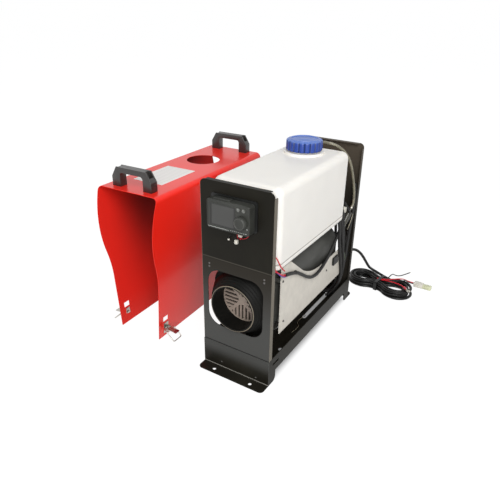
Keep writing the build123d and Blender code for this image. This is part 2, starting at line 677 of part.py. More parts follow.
def outlet_grille():
    """Guard in the mouth: slots in four quarters, diagonal bars and a middle boss."""
    bore = MOUTH_RADIUS - MOUTH_WALL
    disc = Circle(bore + GRILLE_RIM)
    clear = Circle(bore - 2) - Circle(GRILLE_BOSS)
    for side in range(4):
        slots = []
        for index in range(-GRILLE_SLOTS, GRILLE_SLOTS + 1):
            slots.append(Pos(bore, index * GRILLE_PITCH) * Rectangle(2 * bore, GRILLE_SLOT))
        cut = Rot(0, 0, 90 * side) * (Sketch() + slots)
        disc -= (cut & quadrant(side)) & clear
    return front_slab(Pos(HEATER_X, HEATER_Z) * disc, GRILLE_Y, GRILLE_Y + GRILLE_THICKNESS)


def on_axis(y):
    """A point on the heater's axis."""
    return (HEATER_X, y, HEATER_Z)


def heat_exchanger():
    """Cast exchanger: a hollow drum with fins all round and a foot for the pipes."""
    drum = rod(EXCHANGER_RADIUS, on_axis(EXCHANGER_FRONT), on_axis(EXCHANGER_REAR))
    fin = block(EXCHANGER_RADIUS - 2, FIN_RADIUS, EXCHANGER_FRONT, EXCHANGER_REAR,
                -FIN_THICKNESS / 2, FIN_THICKNESS / 2)
    step = 360 / FIN_COUNT
    fins = [Pos(HEATER_X, 0, HEATER_Z) * Rot(0, step * (turn + 0.5), 0) * fin for turn in range(FIN_COUNT)]
    drum += fins
    floor = HEATER_Z - SHELL_HEIGHT / 2 + SHELL_WALL
    half, inside = EXCHANGER_FOOT / 2, HEATER_Z - EXCHANGER_RADIUS + 3
    drum += block(HEATER_X - half, HEATER_X + half, EXHAUST_Y - half, INTAKE_Y + half - 3, floor, inside)
    boss_top = HEATER_Z + FIN_RADIUS
    drum += rod(8, (HEATER_X, PLUG_Y, HEATER_Z + EXCHANGER_RADIUS - 3), (HEATER_X, PLUG_Y, boss_top))
    drum -= rod(EXCHANGER_BORE, on_axis(EXCHANGER_FRONT + 4), on_axis(EXCHANGER_REAR + 1))
    for y in (EXHAUST_Y, INTAKE_Y):
        drum -= rod(PIPE_RADIUS - PIPE_WALL, (HEATER_X, y, floor - 1), (HEATER_X, y, inside))
    low = HEATER_Z + BURNER_RADIUS
    return drum - rod(PLUG_RADIUS + SLIP, (HEATER_X, PLUG_Y, low), (HEATER_X, PLUG_Y, boss_top + 1))


def burner_tube():
    """Combustion tube inside the exchanger, on a flange at its rear end."""
    front = EXCHANGER_REAR - BURNER_LENGTH
    burner = pipe(BURNER_RADIUS, BURNER_RADIUS - BURNER_WALL, on_axis(front), on_axis(EXCHANGER_REAR))
    flange = EXCHANGER_RADIUS
    burner += pipe(flange, 8, on_axis(EXCHANGER_REAR), on_axis(EXCHANGER_REAR + 3))
    top = HEATER_Z + BURNER_RADIUS + 1
    return burner - rod(PLUG_RADIUS + 1, (HEATER_X, PLUG_Y, HEATER_Z), (HEATER_X, PLUG_Y, top))


def glow_plug():
    """Glow plug screwed into the exchanger's boss from above."""
    seat = HEATER_Z + FIN_RADIUS
    plug = rod(PLUG_RADIUS, (HEATER_X, PLUG_Y, HEATER_Z + 14), (HEATER_X, PLUG_Y, seat + 3))
    return plug + extrude(Pos(HEATER_X, PLUG_Y, seat) * RegularPolygon(7, 6), 5)


def blower_motor():
    """Motor on a perforated plate that spans the casing."""
    back = MOTOR_FRONT + MOTOR_LENGTH
    motor = rod(MOTOR_RADIUS, on_axis(MOTOR_FRONT), on_axis(back))
    plate = shell_form(SHELL_WALL)
    for turn in range(4):
        angle = math.radians(45 + 90 * turn)
        reach = MOTOR_RADIUS + 15
        plate -= Pos(HEATER_X + reach * math.cos(angle), HEATER_Z + reach * math.sin(angle)) * Circle(12)
    motor += front_slab(plate, MOTOR_FRONT, MOTOR_FRONT + MOTOR_PLATE)
    return motor - rod(SHAFT_RADIUS + SHAFT_FIT, on_axis(MOTOR_FRONT - 1), on_axis(back + 1))


def motor_shaft():
    """Shaft through the motor, with a fan at each end."""
    back = MOTOR_FRONT + MOTOR_LENGTH
    front_end = MOTOR_FRONT - IMPELLER_GAP - IMPELLER_DEPTH - 1
    return rod(SHAFT_RADIUS, on_axis(front_end), on_axis(back + FAN_GAP + FAN_DEPTH))


def air_fan():
    """Axial fan that blows the heated air through the casing."""
    front = MOTOR_FRONT + MOTOR_LENGTH + FAN_GAP
    fan = rod(FAN_HUB, on_axis(front), on_axis(front + FAN_DEPTH))
    plate = Box(FAN_RADIUS - FAN_HUB + 1, FAN_DEPTH * 1.1, BLADE_THICKNESS)
    blade = Pos((FAN_HUB + FAN_RADIUS) / 2 - 0.5, front + FAN_DEPTH / 2, 0) * Rot(BLADE_PITCH, 0, 0) * plate
    step = 360 / FAN_BLADES
    fan += [Pos(HEATER_X, 0, HEATER_Z) * Rot(0, step * turn, 0) * blade for turn in range(FAN_BLADES)]
    return fan - rod(SHAFT_RADIUS, on_axis(front - 1), on_axis(front + FAN_DEPTH + 1))


def combustion_fan():
    """Small radial fan that feeds air to the burner."""
    back = MOTOR_FRONT - IMPELLER_GAP
    front = back - IMPELLER_DEPTH
    fan = rod(IMPELLER_RADIUS, on_axis(back - 2), on_axis(back)) + rod(8, on_axis(front), on_axis(back))
    blade = block(11, IMPELLER_RADIUS - 1, front, back - 1, -0.8, 0.8)
    step = 360 / IMPELLER_BLADES
    fan += [Pos(HEATER_X, 0, HEATER_Z) * Rot(0, step * turn, 0) * blade for turn in range(IMPELLER_BLADES)]
    return fan - rod(SHAFT_RADIUS, on_axis(front - 1), on_axis(back + 1))


def control_unit():
    """Electronics box under the top of the casing, against the motor's plate."""
    ceiling = HEATER_Z + SHELL_HEIGHT / 2 - SHELL_WALL
    y0 = MOTOR_FRONT + MOTOR_PLATE
    half = SHELL_WIDTH / 2 - SHELL_RADIUS
    return block(HEATER_X - half, HEATER_X + half, y0, y0 + 36, ceiling - 22, ceiling)


def intake_guard():
    """Slotted plate over the rear end of the casing."""
    plate = shell_form(0)
    for index in range(-4, 5):
        width = SHELL_WIDTH - 26 - 5 * abs(index)
        plate -= Pos(HEATER_X, HEATER_Z + index * GUARD_PITCH) * SlotOverall(width, GUARD_SLOT)
    return front_slab(plate, SHELL_REAR, SHELL_REAR + GUARD_SHEET)


def heater_pipe(y):
    """Round pipe from the casing's floor, through the tray, to below it."""
    top = HEATER_Z - SHELL_HEIGHT / 2 + SHELL_WALL
    return pipe(PIPE_RADIUS, PIPE_RADIUS - PIPE_WALL, (HEATER_X, y, PIPE_END_Z), (HEATER_X, y, top))


def heater_stand():
    """Two bridge brackets that carry the casing above the tray."""
    top = HEATER_Z - SHELL_HEIGHT / 2
    brackets = []
    for y in STAND_PLACES:
        y0, y1 = y - STAND_DEPTH / 2, y + STAND_DEPTH / 2
        left, right = HEATER_X - STAND_HALF_WIDTH, HEATER_X + STAND_HALF_WIDTH
        bracket = block(left, right, y0, y1, top - STAND_SHEET, top)
        for side, x in ((-1, left), (1, right)):
            x0, x1 = sorted((x, x - side * STAND_SHEET))
            bracket += block(x0, x1, y0, y1, TRAY_FLOOR, top)
            x0, x1 = sorted((x - side * STAND_SHEET, x + side * STAND_FOOT))
            bracket += block(x0, x1, y0, y1, TRAY_FLOOR, TRAY_FLOOR + STAND_SHEET)
        brackets.append(bracket)
    return brackets


def heater_shield():
    """Light plate along the casing's right side; its top sweeps down to the rear."""
    top = TANK_BOTTOM - SHELF_SHEET
    outline = Line((SHIELD_FRONT, SHIELD_BOTTOM), (SHIELD_REAR, SHIELD_BOTTOM))
    outline += Line((SHIELD_REAR, SHIELD_BOTTOM), (SHIELD_REAR, SHIELD_LEVEL))
    outline += Line((SHIELD_REAR, SHIELD_LEVEL), (40, SHIELD_LEVEL))
    outline += TangentArc((40, SHIELD_LEVEL), (-60, 190), tangent=(-1, 0))
    outline += Line((-60, 190), (-112, top))
    outline += Line((-112, top), (SHIELD_FRONT, top))
    outline += Line((SHIELD_FRONT, top), (SHIELD_FRONT, SHIELD_BOTTOM))
    return side_slab(make_face(outline), SHIELD_X, SHIELD_X + SHIELD_SHEET)


# ---- controller ----
def controller_bracket():
    """Plate between the front panel and the controller."""
    outline = rounded(BRACKET_WIDTH, BRACKET_HEIGHT, 5, BOX_X + 1, BOX_Z + 3)
    bracket = front_slab(outline, BRACKET_FACE, FRONT_FACE)
    return bracket - rod(CABLE_HOLE, (BOX_X, BRACKET_FACE - 1, BOX_Z), (BOX_X, FRONT_FACE + 1, BOX_Z))


def controller_housing():
    """Hollow case with a screen recess, a knob hole and two button holes."""
    case = front_slab(rounded(BOX_WIDTH, BOX_HEIGHT, 5, BOX_X, BOX_Z), BOX_FACE, BRACKET_FACE)
    rim = case.faces().sort_by(Axis.Y)[0].edges()
    case = fillet(rim, 1.5)
    inner = rounded(BOX_WIDTH - 2 * BOX_WALL, BOX_HEIGHT - 2 * BOX_WALL, 3, BOX_X, BOX_Z)
    case -= front_slab(inner, BOX_FACE + 2 * BOX_WALL, BRACKET_FACE + 1)
    case -= front_slab(rounded(SCREEN_WIDTH, SCREEN_HEIGHT, 2, SCREEN_X, BOX_Z), BOX_FACE - 1,
                       BOX_FACE + SCREEN_THICKNESS)
    case -= hole_through(KNOB_X, KNOB_Z, SHAFT_RADIUS + SHAFT_FIT)
    for x in (POWER_X, SET_X):
        case -= hole_through(x, BUTTON_Z, BUTTON_RADIUS + BUTTON_FIT)
    return case


def hole_through(x, z, radius):
    """A hole through the controller's face."""
    return rod(radius, (x, BOX_FACE - 3, z), (x, BOX_FACE + 2 * BOX_WALL + 1, z))


def display_window():
    """Screen glass in its recess."""
    return front_slab(rounded(SCREEN_WIDTH, SCREEN_HEIGHT, 2, SCREEN_X, BOX_Z), BOX_FACE + 0.2,
                      BOX_FACE + SCREEN_THICKNESS)


def encoder_shaft():
    """Shaft that the knob turns on and that clicks when pressed."""
    outer = BOX_FACE - KNOB_GAP - KNOB_HEIGHT + 2
    inner = BOX_FACE + 2 * BOX_WALL + 1
    shaft = rod(SHAFT_RADIUS, (KNOB_X, outer, KNOB_Z), (KNOB_X, inner, KNOB_Z))
    return shaft + rod(SHAFT_RADIUS + 1.5, (KNOB_X, inner, KNOB_Z), (KNOB_X, inner + 2, KNOB_Z))


def menu_knob():
    """Ribbed knob."""
    back = BOX_FACE - KNOB_GAP
    front = back - KNOB_HEIGHT
    knob = rod(KNOB_RADIUS, (KNOB_X, front, KNOB_Z), (KNOB_X, back, KNOB_Z))
    knob = fillet(knob.edges().filter_by(GeomType.CIRCLE).sort_by(Axis.Y)[0], 1.2)
    ribs = []
    for turn in range(KNOB_RIBS):
        angle = 2 * math.pi * turn / KNOB_RIBS
        x = KNOB_X + (KNOB_RADIUS + 0.3) * math.cos(angle)
        z = KNOB_Z + (KNOB_RADIUS + 0.3) * math.sin(angle)
        ribs.append(rod(0.7, (x, front + 2, z), (x, back + 1, z)))
    knob -= ribs
    return knob - rod(SHAFT_RADIUS + SHAFT_FIT, (KNOB_X, front + 2, KNOB_Z), (KNOB_X, back + 1, KNOB_Z))


def push_button(x):
    """Round button with a shoulder behind the case's face."""
    shoulder = BOX_FACE + 2 * BOX_WALL + 1
    button = rod(BUTTON_RADIUS, (x, BOX_FACE - BUTTON_PROUD, BUTTON_Z), (x, shoulder, BUTTON_Z))
    return button + rod(BUTTON_RADIUS + 1, (x, shoulder, BUTTON_Z), (x, shoulder + 1.5, BUTTON_Z))


def wiring_plugs():
    """White plugs: socket under the controller, the one hanging there, and the pump's."""
    low = BOX_Z - BOX_HEIGHT / 2
    middle = (BOX_FACE + BRACKET_FACE) / 2
    socket = block(10, 20, middle - 3, middle + 3, low - 7, low)
    hanging = block(-1, 7, FRONT_FACE - 6, FRONT_FACE, 284, 295)
    x, y, z = PUMP_PLUG
    at_rear = block(x - 4, x + 4, y - 4, y + 4, z, z + 13)
    return [socket, hanging, at_rear]


# ---- wiring ----
def harness_loom():
    """Sleeved looms along the shield and down the rear right corner."""
    x = SHIELD_X + SHIELD_SHEET + LOOM_DIAMETER / 2 + SLIP
    below = (PUMP_PLUG[0], PUMP_PLUG[1], PUMP_PLUG[2] - 10)
    side = tube([(x, -140, 216), (x, -122, 211), (x, -98, 203), (x, -74, 189), (x, -50, 172),
                 (x, -25, 158), (x, 2, 153), (x, 28, 158), (x, 52, 169), (x - 1, 76, 182),
                 (68.5, 99, 196.5), (66, 120, 208.5), (62.8, 138.2, 219.6), (62.2, 145.3, 229), below,
                 PUMP_PLUG], LOOM_DIAMETER, "side_loom")
    rest = TRAY_FLOOR + LOOM_DIAMETER / 2
    down = tube([(47, 140, 228), (49, 141, 204), (51, 140, 178), (50, 140, 150), (53, 140, 122),
                 (56, 142, 96), (58, 147, 72), (55, 151, 52), (45, 150, 37.5), (33, 146, 29.5),
                 (21, 141, rest)], LOOM_DIAMETER, "rear_loom")
    inner = HALF_LENGTH - PANEL_SHEET - GLAND_INNER
    feed = tube([(GLAND_X, inner, GLAND_Z), (GLAND_X, inner - 11, GLAND_Z), (58.5, 168.5, GLAND_Z - 1.4),
                 (50, 158.5, GLAND_Z - 2), (39, 150.5, GLAND_Z - 1), (26.5, 145, GLAND_Z + 0.6),
                 (14, 141.5, GLAND_Z + 2)],
                LOOM_DIAMETER, "feed_loom")
    return [side, down, feed]


def harness_leads():
    """Thin leads from behind the front panel to the side loom."""
    leads = []
    for index in range(3):
        shift = (index - 1) * 1.0
        leads.append(tube([(66 + index, -190, 262 - 6 * index), (69 + index * 0.6, -182, 250 - 4 * index),
                           (72.6, -176 + 3 * index, 238 - 2 * index), (72.8, -164 + 2 * index, 229 - index),
                           (71.6, -152, 221 + 1.5 * shift), (70.6, -140.6, 216.5 + 1.8 * shift)],
                          1.6, "lead_%d" % index))
    return leads


def harness_clip():
    """Clip that holds the loom to the shield."""
    face = SHIELD_X + SHIELD_SHEET
    return block(face, face + 4.5, 92, 116, 134, 152)


def lead_gland():
    """Cable gland through the rear panel."""
    inner = HALF_LENGTH - PANEL_SHEET - GLAND_INNER
    outer = HALF_LENGTH + GLAND_HEAD
    gland = rod(GLAND_RADIUS, (GLAND_X, inner, GLAND_Z), (GLAND_X, HALF_LENGTH, GLAND_Z))
    head = rod(GLAND_RADIUS + 2, (GLAND_X, HALF_LENGTH, GLAND_Z), (GLAND_X, outer, GLAND_Z))
    return gland + head


def hank_point(along_hank, across, height):
    """A point of the hank, in the part's frame."""
    angle = math.radians(HANK_ANGLE)
    x = HANK_X + along_hank * math.cos(angle) - across * math.sin(angle)
    y = HANK_Y + along_hank * math.sin(angle) + across * math.cos(angle)
    return Vector(x, y, height)


def hank_offset(run):
    """How far a run lies from the hank's middle line: in, out and in again, layer by layer."""
    steps = HANK_TURNS - abs(HANK_TURNS - run % (2 * HANK_TURNS))
    return HANK_OUTER - steps * HANK_STEP / 2


def hank_height(run):
    """Height at which a run ends; the last run of each layer climbs to the next."""
    return HANK_LOW + HANK_LAYER * min(run // HANK_TURNS, len(HANK_SHORTER) - 1)


def hank_reach(run):
    """How far out the end turn before a run lies."""
    return HANK_REACH - HANK_SHORTER[(run - 1) // HANK_TURNS]


def sheath_end():
    """How far across the hank the sheath ends, on top of it."""
    return hank_offset(HANK_RUNS) - HANK_DRAWN


def power_lead_hank():
    """The lead's spare length, wound on itself and drawn in at its waist."""
    ahead = hank_point(1, 0, 0) - hank_point(0, 0, 0)
    edges = []
    last = [hank_point(HANK_REACH, HANK_OUTER, HANK_LOW)]

    def bend(point, tangent):
        edges.append(TangentArc(last[0], point, tangent=tangent))
        last[0] = point

    def sway(point, tangent):
        middle = (last[0] + point) * 0.5
        bend(middle, tangent)
        bend(point, edges[-1] % 1)

    for run in range(1, HANK_RUNS + 1):
        side = 1 if run % 2 == 0 else -1
        heading = ahead * side
        wide = hank_offset(run)
        before, after = hank_height(run - 1), hank_height(run)
        bend(hank_point(-side * hank_reach(run), side * wide, before), ahead * -side)
        if run == HANK_RUNS:
            break
        sway(hank_point(0, side * (wide - HANK_DRAWN), (before + after) / 2), heading)
        sway(hank_point(side * hank_reach(run + 1), side * wide, after), heading)
    sway(hank_point(-HANK_TAIL, sheath_end(), HANK_HIGH), ahead)
    path = Wire(edges)
    solid = sweep(Plane(origin=path @ 0, z_dir=path % 0) * Circle(LEAD_DIAMETER / 2), path)
    area = math.pi * LEAD_DIAMETER ** 2 / 4
    print("hank length %.0f, volume ratio %.4f, least gap to itself %.2f" % (
        path.length, solid.volume / (area * path.length), least_gap(path)))
    return solid


def least_gap(path):
    """Least clear distance between parts of the hank that aren't neighbours along it."""
    count = int(path.length / 2.5)
    points = [path @ (index / count) for index in range(count + 1)]
    apart = int(LEAD_DIAMETER * 3 / 2.5)
    least = 1000.0
    for index, point in enumerate(points):
        for other in points[index + apart:]:
            least = min(least, (point - other).length)
    return least - LEAD_DIAMETER


def power_lead():
    """Lead from the gland down to the floor and round into the hank."""
    start = (GLAND_X, HALF_LENGTH + GLAND_HEAD, GLAND_Z)
    end = hank_point(HANK_REACH, HANK_OUTER, HANK_LOW)
    near = hank_point(HANK_REACH - 10, HANK_OUTER, HANK_LOW)
    route = [start, (GLAND_X, start[1] + 13.5, GLAND_Z), (65.5, 231.5, 118), (70.5, 244, 111.5),
             (75.5, 258, 99.5), (79.5, 273, 83), (82.5, 288, 65), (84.5, 303, 48.5), (85.5, 316.5, 36),
             (87, 329, 27), (90.2, 337.7, 19.8), (98.7, 344, 13.1), (110.2, 346.4, 7.4),
             (122.8, 343.8, 5), (135, 339.4, HANK_LOW), (147, 333.3, HANK_LOW),
             (157.5, 326.3, HANK_LOW), tuple(near), tuple(end)]
    return tube(route, LEAD_DIAMETER, "power_lead")


def wire_point(across, up, ahead):
    """A point ahead of where a wire leaves the end of the sheath."""
    return tuple(hank_point(ahead - HANK_TAIL, sheath_end() + across, HANK_HIGH + up))


def wire(across, up, points, name):
    """A wire that runs out of the sheath, under the tie, and on through points."""
    route = [wire_point(across, up, 0), wire_point(across, up, HANK_TAIL)] + points
    return tube(route, WIRE_DIAMETER, name)


def red_supply_wire():
    """Red wire to the ring terminal, over the top of the hank."""
    return wire(-WIRE_SPREAD, WIRE_SPREAD,
                [(135, 293.2, 22.5), (145.5, 290, 25.2), (157, 286.5, 27.5), (169.5, 285, 28),
                 (183.1, 281.8, 28.6), RING_WIRE_END], "red_supply_wire")


def black_supply_wire():
    """Thin black wire with a bare end, lying off behind the hank."""
    return wire(WIRE_SPREAD, -WIRE_SPREAD,
                [(134.3, 297.4, 20.4), (141.5, 301, 26), (144.5, 310, 29.5), (145.5, 321, 29.5),
                 (146, 333, 25.5), (147, 346, 17.5), (149.5, 359, 10), (153, 371, 4.8), (158.5, 384.5, 2.2),
                 (165.5, 400.5, 1.4), (172.8, 416, 1.4)], "black_supply_wire")


def connector_wires():
    """Red and black wires to the white connector."""
    x, y = CONNECTOR_START
    pole, middle = POLE_SPACING / 2, CONNECTOR_HEIGHT / 2
    red = wire(WIRE_SPREAD, WIRE_SPREAD,
               [(135, 295.9, 23.6), (146.5, 296.5, 26.4), (157.5, 300, 29.3), (168, 308.5, 29.6),
                (176, 320, 26), (178.2, 333, 19), (181, 344.5, 11.5), (x - 10, y + pole, middle),
                (x, y + pole, middle)],
               "connector_red")
    black = wire(-WIRE_SPREAD, -WIRE_SPREAD,
                 [(135, 293.4, 19.6), (146, 293, 22.6), (157, 293.8, 26), (168, 298, 27.2),
                  (177.5, 306.5, 27), (183.8, 317, 26), (184, 328, 19), (182.7, 338, 12),
                  (x - 10, y - pole, middle), (x, y - pole, middle)], "connector_black")
    return [red, black]


def supply_connector():
    """Two mated halves of a two-pole connector, lying on the floor."""
    x, y = CONNECTOR_START
    half = CONNECTOR_WIDTH / 2
    body = block(x, x + CONNECTOR_LENGTH * 0.55, y - half, y + half, 0, CONNECTOR_HEIGHT)
    return body + block(x + CONNECTOR_LENGTH * 0.5, x + CONNECTOR_LENGTH, y - half + 1.5, y + half - 1.5,
                        0, CONNECTOR_HEIGHT - 2)


def ring_terminal():
    """Crimped ring terminal on the end of the red wire."""
    heading = Vector(*RING_HEADING).normalized()
    end = Vector(*RING_WIRE_END) + heading * RING_CRIMP
    crimp = rod(2.2, RING_WIRE_END, tuple(end))
    centre = end + heading * 5.5
    ring = Pos(centre.X, centre.Y, centre.Z) * (Cylinder(5, 1) - Cylinder(2.7, 2))
    tongue = end + heading * 1.2
    return crimp + ring + rod(0.5, tuple(end - heading), tuple(tongue))


def hank_tie():
    """Strap round the hank's waist."""
    far = HANK_OUTER - HANK_DRAWN + LEAD_DIAMETER / 2 + 0.5
    near = -(hank_offset(1) - HANK_DRAWN + LEAD_DIAMETER / 2 + 0.5)
    top = HANK_HIGH + LEAD_DIAMETER / 2 + 0.3
    place = Pos((far + near) / 2, (top + TIE_THICKNESS) / 2)
    outer = RectangleRounded(far - near + 2 * TIE_THICKNESS, top + TIE_THICKNESS, TIE_CORNER)
    hole = RectangleRounded(far - near, top - TIE_THICKNESS, TIE_CORNER - TIE_THICKNESS)
    strap = side_slab(place * (outer - hole), -TIE_WIDTH / 2, TIE_WIDTH / 2)
    return Pos(HANK_X, HANK_Y, 0) * Rot(0, 0, HANK_ANGLE) * strap


# ---- cover ----
def cover_outline(inset):
    """The cover's cross-section, as a filled outline drawn in by an inset."""
    lean = (COVER_TOP_HALF - COVER_FOOT_HALF) / COVER_HEIGHT
    top = COVER_HEIGHT - inset
    slant = inset * math.hypot(1, lean)
    foot = COVER_FOOT_HALF - slant - lean
    head = COVER_FOOT_HALF - slant + lean * top
    low = 0.0 if inset == 0 else -1.0
    if inset == 0:
        foot = COVER_FOOT_HALF
    outline = Polygon((-foot, low), (-head, top), (head, top), (foot, low), align=None)
    return fillet(outline.vertices().sort_by(Axis.Y)[-2:], COVER_RADIUS - inset)


def cover_side_view():
    """What the cover looks like from the side: its two ends bulge near the top."""
    end = COVER_LENGTH / 2
    belly = (BULGE_START + BULGE_PEAK) / 2
    outline = Line((-end, 0), (end, 0)) + Line((-end, COVER_HEIGHT), (end, COVER_HEIGHT))
    for side in (-1, 1):
        foot, start = (side * end, 0), (side * end, BULGE_START)
        middle = (side * (end + COVER_BULGE / 2), belly)
        peak = (side * (end + COVER_BULGE), BULGE_PEAK)
        lower = TangentArc(start, middle, tangent=(0, 1))
        outline += Line(foot, start) + lower
        outline += TangentArc(middle, peak, tangent=lower % 1)
        outline += TangentArc(peak, (side * end, COVER_HEIGHT), tangent=(0, 1))
    return make_face(outline)


def cover_shell():
    """Bent sheet cover with the cap's hole and two latch slots."""
    long_enough = COVER_LENGTH / 2 + COVER_BULGE + 5
    shell = front_slab(cover_outline(0) - cover_outline(COVER_SHEET), -long_enough, long_enough)
    shell = shell & side_slab(cover_side_view(), -COVER_TOP_HALF - 5, COVER_TOP_HALF + 5)
    low, high = COVER_HEIGHT - 5, COVER_HEIGHT + 5
    shell -= rod(CAP_HOLE_RADIUS, (CAP_HOLE_X, CAP_HOLE_Y, low), (CAP_HOLE_X, CAP_HOLE_Y, high))
    half = LATCH_SLOT_WIDTH / 2
    shell -= block(-COVER_TOP_HALF, COVER_TOP_HALF, LATCH_Y - half, LATCH_Y + half,
                   LATCH_SLOT_Z - LATCH_SLOT_HEIGHT / 2, LATCH_SLOT_Z + LATCH_SLOT_HEIGHT / 2)
    return shell


def carry_handle(y):
    """Bridge handle with sloping ends and a screw pocket in each."""
    half, flat = HANDLE_LENGTH / 2, HANDLE_LENGTH / 2 - HANDLE_SLOPE
    outline = Polygon((-half, 0), (-half, HANDLE_SHOULDER), (-flat, HANDLE_HEIGHT), (flat, HANDLE_HEIGHT),
                      (half, HANDLE_SHOULDER), (half, 0), align=None)
    gap = half - HANDLE_FOOT
    under = HANDLE_HEIGHT - HANDLE_BAR
    hollow = Pos(0, 0) * RectangleRounded(2 * gap, 2 * under, 6)
    handle = front_slab(outline - hollow, -HANDLE_WIDTH / 2, HANDLE_WIDTH / 2)
    for side in (-1, 1):
        x = side * (half - HANDLE_SCREW_INSET)
        deep = HANDLE_WIDTH / 2 - 3
        handle -= block(x - 5.5, x + 5.5, -deep, deep, POCKET_FLOOR, HANDLE_HEIGHT + 1)
        handle -= rod(HANDLE_SCREW, (x, 0, -1), (x, 0, POCKET_FLOOR + 1))
    return Pos(0, y, COVER_HEIGHT) * handle


def cover_screws():
    """Screws of the two handles."""
    pieces = []
    for y in HANDLE_PLACES:
        for side in (-1, 1):
            x = side * (HANDLE_LENGTH / 2 - HANDLE_SCREW_INSET)
            floor = COVER_HEIGHT + POCKET_FLOOR
            head = rod(HANDLE_SCREW_HEAD, (x, y, floor), (x, y, floor + 4))
            pieces.append(rod(HANDLE_SCREW, (x, y, COVER_HEIGHT), (x, y, floor)) + head)
    return pieces


def wall_frame(side):
    """Frame of a latch: X out of the wall, Z up along it, origin at the wall's outer face."""
    lean = (COVER_TOP_HALF - COVER_FOOT_HALF) / COVER_HEIGHT
    out = COVER_FOOT_HALF + lean * LATCH_Z
    turn = Rot(0, 0, 0) if side > 0 else Rot(0, 0, 180)
    shift = LATCH_Y if side > 0 else -LATCH_Y
    return turn * Pos(out, shift, LATCH_Z) * Rot(0, math.degrees(math.atan(lean)), 0)


def latch_base(side):
    """Base plate on the wall, with two ears and the lever's pin."""
    half = LATCH_WIDTH / 2
    base = block(0, 1.2, -half, half, -12, 14)
    for ear in (-1, 1):
        y0, y1 = sorted((ear * half, ear * (half - 1.2)))
        base += block(1, PIN_OUT + 2, y0, y1, -3.5, 3.5)
    base += rod(LATCH_PIN, (PIN_OUT, -half, 0), (PIN_OUT, half, 0))
    for z in (-9.0, 10.0):
        base += rod(2, (1, 0, z), (2, 0, z))
    return wall_frame(side) * base


def latch_lever(side):
    """Lever that stands out from the wall when it is open."""
    half = LATCH_WIDTH / 2 - 1.2 - SLIP
    start = PIN_OUT + LATCH_PIN
    low = 1.5 - LEVER_SHEET / 2
    lever = block(start + 1, start + LEVER_LENGTH, -half, half, low, low + LEVER_SHEET)
    lever += rod(LATCH_PIN + 1.5, (PIN_OUT, -half, 0), (PIN_OUT, half, 0))
    pivot = PIN_OUT + BAIL_OFFSET
    lever += rod(2.2, (pivot, -half, 0), (pivot, half, 0))
    lever -= rod(LATCH_PIN + SHAFT_FIT, (PIN_OUT, -half - 1, 0), (PIN_OUT, half + 1, 0))
    lever -= rod(BAIL_WIRE + SHAFT_FIT, (pivot, -half - 1, 0), (pivot, half + 1, 0))
    return wall_frame(side) * lever


def latch_bail(side):
    """Wire loop hung from the lever, which hooks into the frame's rail."""
    half = BAIL_WIDTH / 2 - BAIL_WIRE
    pivot = PIN_OUT + BAIL_OFFSET
    tilt = math.radians(BAIL_TILT)
    out, down = math.sin(tilt), -math.cos(tilt)
    far = (pivot + BAIL_LENGTH * out, BAIL_LENGTH * down)
    route = [(pivot, -half, 0), (far[0], -half, far[1]), (far[0], half, far[1]), (pivot, half, 0)]
    path = FilletPolyline(*route, radius=3.5)
    bail = sweep(Plane(origin=path @ 0, z_dir=path % 0) * Circle(BAIL_WIRE), path)
    bail += rod(BAIL_WIRE, (pivot, -half, 0), (pivot, half, 0))
    for y in (-half, half):
        bail += Pos(pivot, y, 0) * Sphere(BAIL_WIRE)
    return wall_frame(side) * bail


